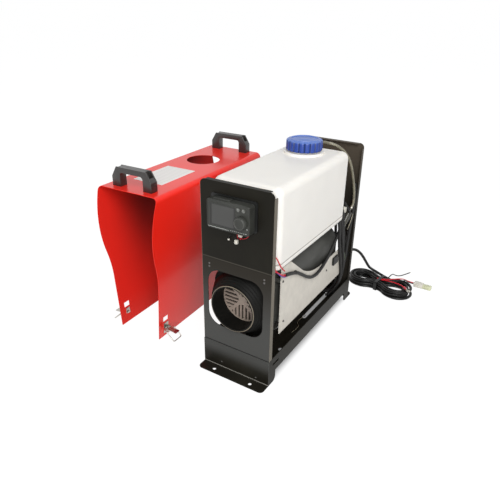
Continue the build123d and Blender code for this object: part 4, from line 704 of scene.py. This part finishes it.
def hank_route():
    """The lead's turns: round one end, across the drawn-in waist, and round the other."""
    points = []
    across = HANK_OUTER
    for run in range(1, HANK_RUNS + 1):
        side = 1 if run % 2 == 0 else -1
        wide = side * hank_offset(run)
        before, after, out = hank_height(run - 1), hank_height(run), hank_reach(run)
        middle, radius = (across + wide) / 2, abs(across - wide) / 2
        reach = radius / math.cos(math.radians(HANK_CORNERS[0]))
        for angle in HANK_CORNERS:
            turn = math.radians(angle)
            points.append(hank_point(-side * (out + reach * math.sin(turn)),
                                     middle - side * reach * math.cos(turn), before))
        if run < HANK_RUNS:
            drawn = wide - side * HANK_DRAWN * 1.06
            ahead = hank_reach(run + 1)
            for share, inward in ((-0.68, 0), (-0.3, 1), (0.3, 1), (0.68, 0)):
                place = share * (out if share < 0 else ahead)
                points.append(hank_point(side * place, drawn if inward else wide,
                                         before + (after - before) * (share + 1) / 2))
        across = wide
    for place, offset in ((-37, across), (-20.5, sheath_end()), (-HANK_TAIL, sheath_end())):
        points.append(hank_point(place, offset, HANK_HIGH))
    return points


def wire_start(across, up, ahead=0.0):
    """Where a wire leaves the sheath's end, or a point straight ahead of that."""
    return hank_point(ahead - HANK_TAIL, sheath_end() + across, HANK_HIGH + up)


class HEATER_OT_power_lead(Operator):
    """Lay the power lead from its gland into the hank"""

    bl_idname = "heater.power_lead"
    bl_label = "Power lead"

    def execute(self, context):
        fall = [LEAD_EXIT, (62, 219, 120), (65.5, 231.5, 118), (70.5, 244, 111.5), (75.5, 258, 99.5),
                (79.5, 273, 83), (82.5, 288, 65), (84.5, 303, 48.5), (85.5, 316.5, 36), (87, 329, 27),
                (90.2, 337.7, 19.8), (98.7, 344, 13.1), (110.2, 346.4, 7.4), (122.8, 343.8, 5),
                (135, 339.4, HANK_LOW), (147, 333.3, HANK_LOW), (157.5, 326.3, HANK_LOW),
                hank_point(40, HANK_OUTER, HANK_LOW)]
        lead = strand("power_cord", fall + hank_route(), sizes().lead, "cable_black",
                      ("power_lead", "power_lead_hank"))
        return {"FINISHED"}


class HEATER_OT_supply_wires(Operator):
    """Lay the four wires from the sheath's end to the ring, the bare tip and the connector"""

    bl_idname = "heater.supply_wires"
    bl_label = "Supply wires"

    def execute(self, context):
        apart, pole = WIRE_SPREAD, CONNECTOR_POLE
        plug_x = CONNECTOR_X - 10
        socket = connector()
        ends = {"ring_wire": [ring_sleeve(), "ring_terminal"], "bare_wire": [bare_tip()],
                "plus_wire": [socket, "connector_plug"], "minus_wire": [socket]}
        routes = (
            ("ring_wire", (-apart, apart), "lead_red", "red_supply_wire", "fitting", 0.081,
             [(135, 293.2, 22.5), (145.5, 290, 25.2), (157, 286.5, 27.5), (169.5, 285, 28),
              (183.1, 281.8, 28.6), RING_WIRE_END]),
            ("bare_wire", (apart, -apart), "cable_black", "black_supply_wire", "bare", 0.146,
             [(134.3, 297.4, 20.4), (141.5, 301, 26), (144.5, 310, 29.5), (145.5, 321, 29.5),
              (146, 333, 25.5), (147, 346, 17.5), (149.5, 359, 10), (153, 371, 4.8),
              (158.5, 384.5, 2.2), (165.5, 400.5, 1.4), BARE_END]),
            ("plus_wire", (apart, apart), "lead_red", "connector_wires", "connector", 0.119,
             [(135, 295.9, 23.6), (146.5, 296.5, 26.4), (157.5, 300, 29.3), (168, 308.5, 29.6),
              (176, 320, 26), (178.2, 333, 19), (181, 344.5, 11.5),
              (plug_x, CONNECTOR_Y + pole, 6), (CONNECTOR_X, CONNECTOR_Y + pole, 6)]),
            ("minus_wire", (-apart, -apart), "cable_black", "connector_wires", "connector", 0.126,
             [(135, 293.4, 19.6), (146, 293, 22.6), (157, 293.8, 26), (168, 298, 27.2),
              (177.5, 306.5, 27), (183.8, 317, 26), (184, 328, 19), (182.7, 338, 12),
              (plug_x, CONNECTOR_Y - pole, 6), (CONNECTOR_X, CONNECTOR_Y - pole, 6)]),
        )
        for name, place, slot, node, far_end, length, points in routes:
            start = wire_start(*place)
            route = [start, wire_start(*place, HANK_TAIL)] + points
            wire = strand(name, route, sizes().wire, slot, (node,))
        return {"FINISHED"}


def ring_sleeve():
    """Insulating sleeve over the ring terminal's crimp."""
    shape = bmesh.new()
    middle = Vector(RING_WIRE_END)
    start, end = middle - RING_HEADING * 3, middle + RING_HEADING * 9
    add_turned(shape, [(0, 1.25), (0, 2.5), (0.6, 3.0), (8.5, 3.0), (9.2, 2.7), (9.2, 1.9)],
               start, end, 24)
    return finished("ring_sleeve", shape, "sleeve_pink")


def bare_tip():
    """Stripped end of the thin black wire."""
    shape = bmesh.new()
    x, y, z = BARE_END
    add_turned(shape, [(-1, 0), (-1, 0.8), (4.6, 0.8), (5, 0.5), (5, 0)], BARE_END, (x + 7, y + 14, z), 16)
    return finished("bare_tip", shape, "wire_pale")


def connector():
    """Two mated connector halves with ribs and wire boots."""
    shape = bmesh.new()
    x, y = CONNECTOR_X, CONNECTOR_Y
    add_block(shape, (x, y - 7.5, 0), (x + 23, y + 7.5, 11.4), 0.9)
    for rib in (4, 8, 12):
        add_block(shape, (x + rib, y - 8.0, 1.2), (x + rib + 1.6, y + 8.0, 12.0), 0.3, 1)
    for pole in (-CONNECTOR_POLE, CONNECTOR_POLE):
        add_turned(shape, [(-2.0, 1.2), (-2.0, 2.1), (0.5, 2.35), (1.5, 2.35)],
                   (x, y + pole, 6), (x + 2, y + pole, 6), 20)
    first = finished("connector_socket", shape, "plug_white", "frame", ("supply_connector",))
    shape = bmesh.new()
    add_block(shape, (x + 22, y - 6.1, 0), (x + 44, y + 6.1, 9.5), 0.9)
    for rib in (31, 35, 39):
        add_block(shape, (x + rib, y - 6.5, 0.8), (x + rib + 1.8, y + 6.5, 10.0), 0.3, 1)
    finished("connector_plug", shape, "connector_yellow")
    return first


# ---- pieces ----
class HEATER_OT_finishes(Operator):
    """Give every CAD piece its finish"""

    bl_idname = "heater.finishes"
    bl_label = "Finishes"

    def execute(self, context):
        slots = {part["node"]: part["material_slot"] for part in frame["record"]["subparts"]}
        for node, piece in frame["nodes"].items():
            slot = "panel_black" if node in ("front_panel", "rear_panel") else slots[node]
            for place in piece.material_slots:
                place.material = finish_for(slot)
        return {"FINISHED"}


class HEATER_OT_tank_cap(Operator):
    """Model the lobed screw cap of the tank"""

    bl_idname = "heater.tank_cap"
    bl_label = "Tank cap"

    def execute(self, context):
        x, y = CAP_CENTRE
        radius, lobes, groove = CAP_RADIUS, sizes().lobes, sizes().groove
        inner = radius - 4.5
        profile = [(0, radius - 5.6), (0, radius - 0.9), (0.6, radius - 0.25), (1.4, radius), (5, radius),
                   (10, radius), (16, radius), (18, radius - 0.2), (19.6, radius - 1.1),
                   (20.6, radius - 2.6), (21, radius - 4.4), (21, radius - 7.6), (21.3, radius - 8.0),
                   (22.2, radius - 8.4), (22.2, radius - 10.2), (21.8, radius - 10.6),
                   (20.9, radius - 11), (20.9, 12), (21.2, 11.4), (21.2, 0)]

        def depth_at(angle, away):
            fade = min(1.0, (away / MM - inner) / 2.5)
            return groove * fade * (1 - abs(math.cos(angle * lobes / 2)) ** 0.45)

        shape = bmesh.new()
        add_turned(shape, profile, (x, y, CAP_LOW), (x, y, CAP_HIGH), lobes * 8)
        flute(shape, mm(x, y, 0), (0, 1), inner, depth_at)
        finished("cap_moulding", shape, "cap_blue", "tank_cap", ("tank_cap",), 50)
        return {"FINISHED"}


def dome_head(shape, place, out, radius, rise):
    """A domed rivet head on a face; out is the direction that it stands out in."""
    end = tuple(p + o for p, o in zip(place, out))
    profile = [(-0.3, radius), (0.1, radius), (rise * 0.55, radius * 0.82), (rise * 0.9, radius * 0.45),
               (rise, 0)]
    add_turned(shape, profile, place, end, 20)


def pan_head(shape, place, out, radius, rise):
    """A pan-head screw with a washer face and a cross recess."""
    end = tuple(p + o for p, o in zip(place, out))
    profile = [(-0.2, radius), (rise * 0.5, radius), (rise * 0.85, radius * 0.86), (rise, radius * 0.6),
               (rise, radius * 0.28), (rise * 0.35, radius * 0.1), (rise * 0.35, 0)]
    add_turned(shape, profile, place, end, 24)
    across = Vector(out).orthogonal().normalized()
    other = Vector(out).cross(across)
    for arm in (across, other):
        half = [abs(c) * radius * 0.55 for c in arm]
        thin = [abs(c) * radius * 0.12 for c in Vector(out).cross(arm)]
        size = [h + t + abs(o) * 0.08 for h, t, o in zip(half, thin, out)]
        centre = [p + o * rise for p, o in zip(place, out)]
        add_block(shape, [c - s for c, s in zip(centre, size)], [c + s for c, s in zip(centre, size)])


class HEATER_OT_fasteners(Operator):
    """Model the rivets of the shelf and low at the front, and the screws of the shield"""

    bl_idname = "heater.fasteners"
    bl_label = "Fasteners"

    def execute(self, context):
        shape = bmesh.new()
        for side in (-1, 1):
            for z in (229.0, 223.0):
                dome_head(shape, (side * 59.0, FRONT_FACE, z), (0, -1, 0), 2.2, 1.0)
                dome_head(shape, (side * 37.0, REAR_FACE, z), (0, 1, 0), 2.2, 1.0)
        for y, z in ((-142.0, 203.0), (-134.0, 112.0), (62.0, 135.0)):
            pan_head(shape, (SHIELD_FACE, y, z), (1, 0, 0), 2.4, 1.5)
        for x, z in ((-33, 14), (47, 10)):
            dome_head(shape, (x, -199.0, z), (0, -1, 0), 1.8, 0.8)
        finished("rivets_and_screws", shape, "dark_screws", "frame", ("frame_fasteners",))
        return {"FINISHED"}


class HEATER_OT_handles(Operator):
    """Round the edges of the carrying handles"""

    bl_idname = "heater.handles"
    bl_label = "Carrying handles"

    def execute(self, context):
        softened("carry_handles", sizes().handle_edge, "handle_black", 3)
        return {"FINISHED"}


class HEATER_OT_controller(Operator):
    """Model the controller's bezel, marks, lamp and bracket catch"""

    bl_idname = "heater.controller"
    bl_label = "Controller"

    def execute(self, context):
        face = BOX_FACE
        shape = bmesh.new()
        for low, high in (((-44.5, 364.0), (36.5, 365.2)), ((-44.5, 312.8), (36.5, 314.0)),
                          ((-46.7, 315.0), (-45.5, 363.0)), ((37.5, 315.0), (38.7, 363.0))):
            add_block(shape, (low[0], face - 0.7, low[1]), (high[0], face + 1.2, high[1]), 0.4)
        add_block(shape, (-42.5, face - 0.6, 358.6), (13.5, face + 0.4, 359.8), 0.25)
        add_block(shape, (11.2, face - 0.3, 317.6), (12.2, face + 0.4, 358.8), 0.1)
        add_block(shape, (-36, face + 3, 364.5), (-2, face + 14, 367.8), 0.8)
        finished("controller_bezel", shape, "controller_black")
        shape = bmesh.new()
        for index in range(15):
            x = -44.2 + index * 2.9
            add_block(shape, (x, face - 0.75, 315.3), (x + 1.9, face - 0.3, 316.0))
        for index in range(9):
            x = 1.5 + index * 3.7
            add_block(shape, (x, face - 0.12, 316.2), (x + 1.5 + index % 3 * 0.5, face + 0.2, 316.8))
        add_turned(shape, [(0, 0.9), (0.25, 0.75), (0.35, 0)], (34.5, face, 325.3),
                   (34.5, face - 1, 325.3), 12)
        finished("controller_marks", shape, "mark_white")
        shape = bmesh.new()
        power_mark(shape, 28.0, 357.0)
        finished("power_icon", shape, "mark_grey", "power_button")
        shape = bmesh.new()
        menu_mark(shape, 17.5, 357.0)
        finished("menu_icon", shape, "mark_grey", "set_button")
        return {"FINISHED"}


class HEATER_OT_knob(Operator):
    """Model the ribbed menu knob with its dished face and a grey ring on it that is a painted highlight"""

    bl_idname = "heater.knob"
    bl_label = "Menu knob"

    def execute(self, context):
        x, z = KNOB_PLACE
        ribs, radius = 30, 11.5
        front, back = (x, KNOB_FRONT, z), (x, BOX_FACE, z)
        shape = bmesh.new()
        add_turned(shape, [(1.0, 0), (1.0, 7.2), (0.6, 8.8), (0.1, 9.2), (0.0, 9.5), (0.1, 9.9), (0.8, 10.6),
                           (1.7, 11.1), (2.4, radius), (8, radius), (8, 3.2)], front, back, ribs * 6)
        flute(shape, mm(x, 0, z), (0, 2), radius - 0.5,
              lambda angle, away: 0.25 * MM * (1 - math.cos(ribs * angle)))
        finished("knob_moulding", shape, "controller_black", "menu_knob", ("menu_knob",), 40)
        # A grey ring on the knob's face: a painted highlight.
        shape = bmesh.new()
        add_turned(shape, [(0.3, 9.0), (0.02, 9.25), (0.02, 9.75), (0.3, 10.0), (0.6, 9.5), (0.3, 9.0)],
                   front, back, 64)
        finished("knob_highlight_ring", shape, "button_grey", "menu_knob")
        return {"FINISHED"}


class HEATER_OT_plugs(Operator):
    """Model the white plugs: under the controller, the one that hangs there, and the pump's"""

    bl_idname = "heater.plugs"
    bl_label = "White plugs"

    def execute(self, context):
        shape = bmesh.new()
        for low, high, rear in (((11.5, -208.5, 304.0), (18.5, -204.0, 309.5), 0),
                                ((0.4, -203.0, 285.6), (5.6, -198.0, 293.4), 0),
                                ((58.2, 145.2, 243.0), (65.8, 152.8, 255.5), 0.3)):
            add_block(shape, low, high, 0.5)
            centre, middle = (low[0] + high[0]) / 2, (low[2] + high[2]) / 2
            for shift in (-1.6, 1.6):
                add_block(shape, (low[0] - 0.3, low[1] - 0.3, middle + shift - 0.35),
                          (high[0] + 0.3, high[1] + rear, middle + shift + 0.35), 0.15, 1)
            add_block(shape, (centre - 1.1, low[1] - 0.7, low[2] + 1.0),
                      (centre + 1.1, low[1] + 0.5, high[2] - 0.8), 0.25)
        finished("plug_mouldings", shape, "plug_white", "frame", ("wiring_plugs",))
        return {"FINISHED"}


def power_mark(shape, x, z):
    """Ring with a bar, above the on button."""
    front = MARK_FACE
    for index in range(10):
        turn = math.radians(130 + index * 31)
        cx, cz = x + 2.0 * math.cos(turn), z + 2.0 * math.sin(turn)
        add_block(shape, (cx - 0.34, front - 0.05, cz - 0.34), (cx + 0.34, front + 0.3, cz + 0.34))
    add_block(shape, (x - 0.25, front - 0.05, z + 0.3), (x + 0.25, front + 0.3, z + 2.6))


def menu_mark(shape, x, z):
    """Three short bars on the menu button."""
    front = MARK_FACE
    for up in (-1.5, 0.0, 1.5):
        add_block(shape, (x - 1.8, front - 0.05, z + up - 0.3), (x + 1.8, front + 0.3, z + up + 0.3))


class HEATER_OT_small_wires(Operator):
    """Lay the thin wires at the controller and behind the front panel"""

    bl_idname = "heater.small_wires"
    bl_label = "Small wires"

    def execute(self, context):
        thin = 0.0011
        strands(
            ("controller_wire_red", thin, "lead_red",
             [(16, -207, 305.6), (16.5, -206, 300), (12, -202.5, 296.5), (7, -201.2, 297.5),
              (5, -201, 300), (4.5, -200.4, 304)]),
            ("controller_wire_black", thin, "cable_black",
             [(13.5, -207, 305.6), (12.5, -205, 299), (7, -202, 296), (4.2, -201.5, 296),
              (4, -200.8, 295.2)]),
            ("controller_wire_left", thin, "cable_black",
             [(2, -200.8, 295), (0, -201.5, 300), (-8, -203, 301), (-12, -202.5, 296.5),
              (-13, -201, 291)]),
            ("controller_wire_right", thin, "lead_red",
             [(4.4, -200.6, 295.2), (9, -201.5, 298), (18, -202.5, 299), (26, -202, 302.5),
              (30, -200.8, 308.5)]))
        shape = bmesh.new()
        add_block(shape, (-14.5, -202, 288.8), (-11.5, -199.5, 291.8), 0.4)
        finished("wire_end_plug", shape, "plug_white")
        strands(("violet_lead", 0.0016, "lead_violet",
                 [(66.4, -189, 255), (69.6, -181, 243), (72.0, -171, 233), (73.4, -161, 224),
                  (72.6, -151, 217.5), (71.6, -141, 213.4)]))
        return {"FINISHED"}


class HEATER_OT_rear_looms(Operator):
    """Lay the bundles in the rear right corner, the red front lead and the tray's wire"""

    bl_idname = "heater.rear_looms"
    bl_label = "Rear looms"

    def execute(self, context):
        strands(
            ("corner_loom_high", 0.006, "loom_black",
             [(60, 150, 266), (64, 155, 256), (68, 161, 246), (69.5, 166, 233), (67, 170, 219),
              (60, 172, 207), (50, 172, 199)]),
            ("corner_loom_front", 0.0065, "loom_black",
             [(58.5, 139, 262), (62, 137, 252), (66, 135, 241), (68.5, 134, 226), (68.8, 137, 205),
              (68, 141, 180), (68.5, 144, 155), (67.5, 147, 130), (66, 149, 105), (65, 150, 80),
              (64, 150, 57), (60, 148, 40), (52, 142, 31), (42, 132, 29)]),
            ("corner_loom_rear", 0.0075, "loom_black",
             [(66, 190, 300), (69, 187, 280), (70.5, 184, 258), (70, 183, 235), (68, 182, 205),
              (66.5, 180, 170), (66, 178, 140), (65, 176, 112), (63, 173, 84), (60, 169, 60),
              (53, 164, 42), (42, 156, 31), (28, 148, 29)]),
            ("corner_tube", 0.0022, "hose_clear",
             [(70.4, 190, 262), (71.3, 187, 250), (71.6, 183, 236), (71.2, 178, 222),
              (69.8, 172, 208), (67.5, 166, 196)]),
            ("corner_loom_side", 0.007, "loom_black",
             [(56, 119, 254), (63, 117, 246), (69, 117, 236), (71, 120, 222), (71.1, 126, 198),
              (71.1, 138, 162), (71, 151, 124), (69, 159, 92), (65, 155, 62), (58, 149, 42),
              (48, 145, 29.5)]),
            ("corner_loom_near", 0.007, "loom_black",
             [(56, 106, 254), (62, 105, 247), (68, 105, 238), (70.9, 108, 224), (71, 111, 197),
              (71, 119, 166), (71, 131, 132), (70.8, 144, 98), (67, 148, 68), (59, 142, 44),
              (47, 134, 29.5)]),
            ("corner_loom_inner", 0.0075, "loom_black",
             [(56, 160, 262), (59, 158, 240), (60, 157, 211), (60, 172, 164), (60, 182, 120),
              (59, 184, 90), (58, 166, 62), (50, 152, 36), (38, 146, 29)]),
            ("front_lead_red", 0.0024, "lead_red",
             [(71.8, -186, 274), (73.2, -181, 268.5), (73.8, -176, 260), (73.8, -168, 248.5),
              (73.4, -158, 237.5), (72.6, -148, 229)]),
            ("tray_wire", 0.0014, "wire_pale",
             [(47, -52, 29), (51, -44, 32), (53, -34, 35), (50, -24, 31), (43, -17, 28.6),
              (38, -8, 28.6), (40, 4, 31), (46, 12, 34), (44, 22, 30), (36, 27, 28.6)]))
        return {"FINISHED"}


class HEATER_OT_hood_rim(Operator):
    """Model the lip and the ridges of the warm-air mouth, and a tan ring on the lip that is a painted
    highlight
    """

    bl_idname = "heater.hood_rim"
    bl_label = "Hood rim"

    def execute(self, context):
        lip = [(-0.8, 43.7), (-1.3, 44.6), (-1.3, 46.4), (-0.6, 47.6), (1.0, 48.4), (2.2, 48.4),
               (2.2, 45.0), (-0.8, 43.7)]
        ridges = [[(place - 0.8, radius - 1.4), (place, radius + 0.5), (place + 0.9, radius + 0.5),
                   (place + 1.7, radius - 1.4), (place - 0.8, radius - 1.4)]
                  for place, radius in ((6.0, 50.9), (10.5, 54.1), (15.0, 57.2))]
        # A tan ring on the lip's edge: a painted highlight.
        edge = [(-1.35, 46.0), (-1.5, 46.4), (-0.85, 47.5), (-0.7, 47.2), (-1.35, 46.0)]
        for name, slot, profiles in (("hood_rim", "hood_black", [lip, *ridges]),
                                     ("hood_rim_highlight", "rim_tan", [edge])):
            shape = bmesh.new()
            for profile in profiles:
                add_turned(shape, profile, MOUTH_FRONT, MOUTH_BACK, 96)
            finished(name, shape, slot)
        return {"FINISHED"}


class HEATER_OT_blank_sticker(Operator):
    """Lay the blank sticker on the cover's top"""

    bl_idname = "heater.blank_sticker"
    bl_label = "Blank sticker"

    def execute(self, context):
        shape = bmesh.new()
        add_block(shape, (-43, -129.5, COVER_TOP - 0.05), (33, -15.5, COVER_TOP + 0.15), 0.05, 1)
        bmesh.ops.transform(shape, matrix=COVER_PLACE, verts=shape.verts)
        finished("blank_sticker", shape, "sticker_white", "cover")
        return {"FINISHED"}


class HEATER_OT_latches(Operator):
    """Model the maroon grip on the right latch's lever and the catch inside the left wall"""

    bl_idname = "heater.latches"
    bl_label = "Latches"

    def execute(self, context):
        out = COVER_FOOT + COVER_LEAN * 20.0
        tilt = Matrix.Rotation(math.atan(COVER_LEAN), 4, "Y")
        wall = COVER_PLACE @ Matrix.Translation(mm(out, -174.0, 20.0)) @ tilt
        shape = bmesh.new()
        add_block(shape, (26.5, -6.6, 0.2), (33.0, 6.6, 2.8), 0.9, 3)
        bmesh.ops.transform(shape, matrix=wall, verts=shape.verts)
        finished("latch_grip", shape, "grip_maroon", "latch_lever_right")
        shape = bmesh.new()
        inner = -(COVER_FOOT + COVER_LEAN * 28.0) + 1.2
        add_block(shape, (inner, -179.5, 21.5), (inner + 0.9, -168.5, 35.0), 0.35)
        add_block(shape, (inner + 0.5, -178.0, 22.5), (inner + 3.6, -170.0, 23.7), 0.4)
        add_block(shape, (inner + 2.6, -178.0, 22.5), (inner + 3.7, -170.0, 27.0), 0.4)
        bmesh.ops.transform(shape, matrix=COVER_PLACE, verts=shape.verts)
        finished("inner_catch", shape, "latch_steel", "cover")
        return {"FINISHED"}


def band(shape, start, end, inner, outer, width):
    """A strap or clamp ring round a line, centred on start."""
    half = width / 2
    add_turned(shape, [(-half, inner), (-half, outer), (half, outer), (half, inner), (-half, inner)],
               start, end, 24)


class HEATER_OT_ties(Operator):
    """Model the cable ties on the looms and the clamp on the fuel hose"""

    bl_idname = "heater.ties"
    bl_label = "Ties and clamps"

    def execute(self, context):
        shape = bmesh.new()
        x = SHIELD_FACE + 3.55
        band(shape, (x, -98, 203), (x, -86, 196), 3.3, 4.0, 2.6)
        band(shape, (51.2, 140.2, 190), (51, 140, 178), 3.3, 4.1, 2.8)
        band(shape, (50.4, 140, 136), (50, 140, 126), 3.3, 4.1, 2.8)
        finished("loom_ties", shape, "plastic_black")
        shape = bmesh.new()
        band(shape, (68.3, 175.0, 247.6), (68.4, 175.6, 249.6), 2.8, 3.5, 3.2)
        finished("hose_clamps", shape, "latch_steel")
        return {"FINISHED"}


# ---- stage ----
def floor_finish():
    """White floor that keeps the object's shadow and shows as white to the camera and in gloss, with a
    painted shadow under the base, where it glows less.
    """
    finish = Finish("studio_floor")
    paint = finish.node("ShaderNodeBsdfDiffuse", None, {"Color": (0.5, 0.5, 0.5, 1)})
    glow = finish.node("ShaderNodeEmission", None, {"Color": (1, 1, 1, 1), "Strength": 1.3})
    # Less glow in a rectangle under the base: a painted shadow.
    under = abs(finish.axis("X")).ramp(0.08, 0.06) * abs(finish.axis("Y")).ramp(0.2, 0.17)
    share = finish.seen() * 0.72 * (1 - under * 0.8)
    finish.close("ShaderNodeOutputMaterial", finish.blend(share, paint, glow))
    return finish.material


def lamp(name, power, size, place, target):
    """A plain square softbox that looks at a point."""
    light = bpy.data.lights.new(name, "AREA")
    light.energy = power
    light.size = size
    lamp_object = bpy.data.objects.new(name, light)
    bpy.context.scene.collection.objects.link(lamp_object)
    lamp_object.location = place
    lamp_object.rotation_euler = (Vector(target) - Vector(place)).to_track_quat("-Z", "Y").to_euler()


class HEATER_OT_stage(Operator):
    """Set the camera, the floor, the lamps and the surroundings"""

    bl_idname = "heater.stage"
    bl_label = "Stage"

    def execute(self, context):
        scene = context.scene
        camera = bpy.data.objects.new("photo_camera", bpy.data.cameras.new("photo_camera"))
        scene.collection.objects.link(camera)
        camera.data.sensor_width = 36
        camera.data.lens = 36.0669
        yaw, pitch, roll = 0.5551335, 0.4527301, 0.0147774
        ahead = Vector((-math.sin(yaw) * math.cos(pitch), math.cos(yaw) * math.cos(pitch), -math.sin(pitch)))
        right = Vector((math.cos(yaw), math.sin(yaw), 0))
        up = right.cross(ahead)
        tilted_right = right * math.cos(roll) + up * math.sin(roll)
        tilted_up = up * math.cos(roll) - right * math.sin(roll)
        turn = Matrix((tilted_right, tilted_up, -ahead)).transposed().to_4x4()
        camera.matrix_world = Matrix.Translation((0.437892, -0.856601, 0.656795)) @ turn
        scene.camera = camera
        scene.view_settings.view_transform = "Standard"
        shape = bmesh.new()
        bmesh.ops.create_grid(shape, x_segments=1, y_segments=1, size=60,
                              matrix=Matrix.Translation((0, 0, -0.0003)))
        mesh = bpy.data.meshes.new("floor")
        shape.to_mesh(mesh)
        shape.free()
        mesh.materials.append(floor_finish())
        floor = bpy.data.objects.new("floor", mesh)
        scene.collection.objects.link(floor)
        lamp("key_lamp", sizes().key_light, 1.5, (1.35, -1.75, 2.0), (-0.08, 0, 0.2))
        lamp("fill_lamp", sizes().fill_light, 1.6, (-1.9, -1.3, 1.5), (-0.1, 0, 0.2))
        lamp("low_lamp", sizes().low_light, 0.9, (1.25, -1.9, 0.55), (-0.2, -0.1, 0.2))
        world = bpy.data.worlds.new("surroundings")
        scene.world = world
        world.use_nodes = True
        tree = Tree(world.node_tree)
        plain = tree.node("ShaderNodeBackground", None,
                          {"Color": (0.96, 0.98, 1.0, 1), "Strength": sizes().sky})
        white = tree.node("ShaderNodeBackground", None, {"Color": (1, 1, 1, 1), "Strength": 1.0})
        tree.close("ShaderNodeOutputWorld", tree.blend(tree.seen(), plain, white))
        return {"FINISHED"}


OPERATORS = (
    HEATER_OT_stage,
    HEATER_OT_power_lead,
    HEATER_OT_supply_wires,
    HEATER_OT_finishes,
    HEATER_OT_tank_cap,
    HEATER_OT_fasteners,
    HEATER_OT_handles,
    HEATER_OT_controller,
    HEATER_OT_knob,
    HEATER_OT_plugs,
    HEATER_OT_small_wires,
    HEATER_OT_rear_looms,
    HEATER_OT_hood_rim,
    HEATER_OT_blank_sticker,
    HEATER_OT_latches,
    HEATER_OT_ties,
)


class HEATER_PT_sidebar(Panel):
    """Lists the heater's colours, sizes and steps"""

    bl_idname = "HEATER_PT_sidebar"
    bl_label = "Diesel air heater"
    bl_space_type = "VIEW_3D"
    bl_region_type = "UI"
    bl_category = "Air heater"

    def draw(self, context):
        for group in (context.scene.air_heater_colours, context.scene.air_heater_sizes):
            for name in group.bl_rna.properties.keys():
                if name not in ("rna_type", "name"):
                    self.layout.prop(group, name)
        for step in OPERATORS:
            self.layout.operator(step.bl_idname)


CLASSES = (AirHeaterColours, AirHeaterSizes, *OPERATORS, HEATER_PT_sidebar)


def register():
    for kind in CLASSES:
        bpy.utils.register_class(kind)
    bpy.types.Scene.air_heater_colours = PointerProperty(type=AirHeaterColours)
    bpy.types.Scene.air_heater_sizes = PointerProperty(type=AirHeaterSizes)


def unregister():
    del bpy.types.Scene.air_heater_sizes
    del bpy.types.Scene.air_heater_colours
    for kind in reversed(CLASSES):
        bpy.utils.unregister_class(kind)


def main():
    """Runs every step in order."""
    register()
    for step in OPERATORS:
        group, name = step.bl_idname.split(".")
        getattr(getattr(bpy.ops, group), name)()


if __name__ == "__main__":
    main()
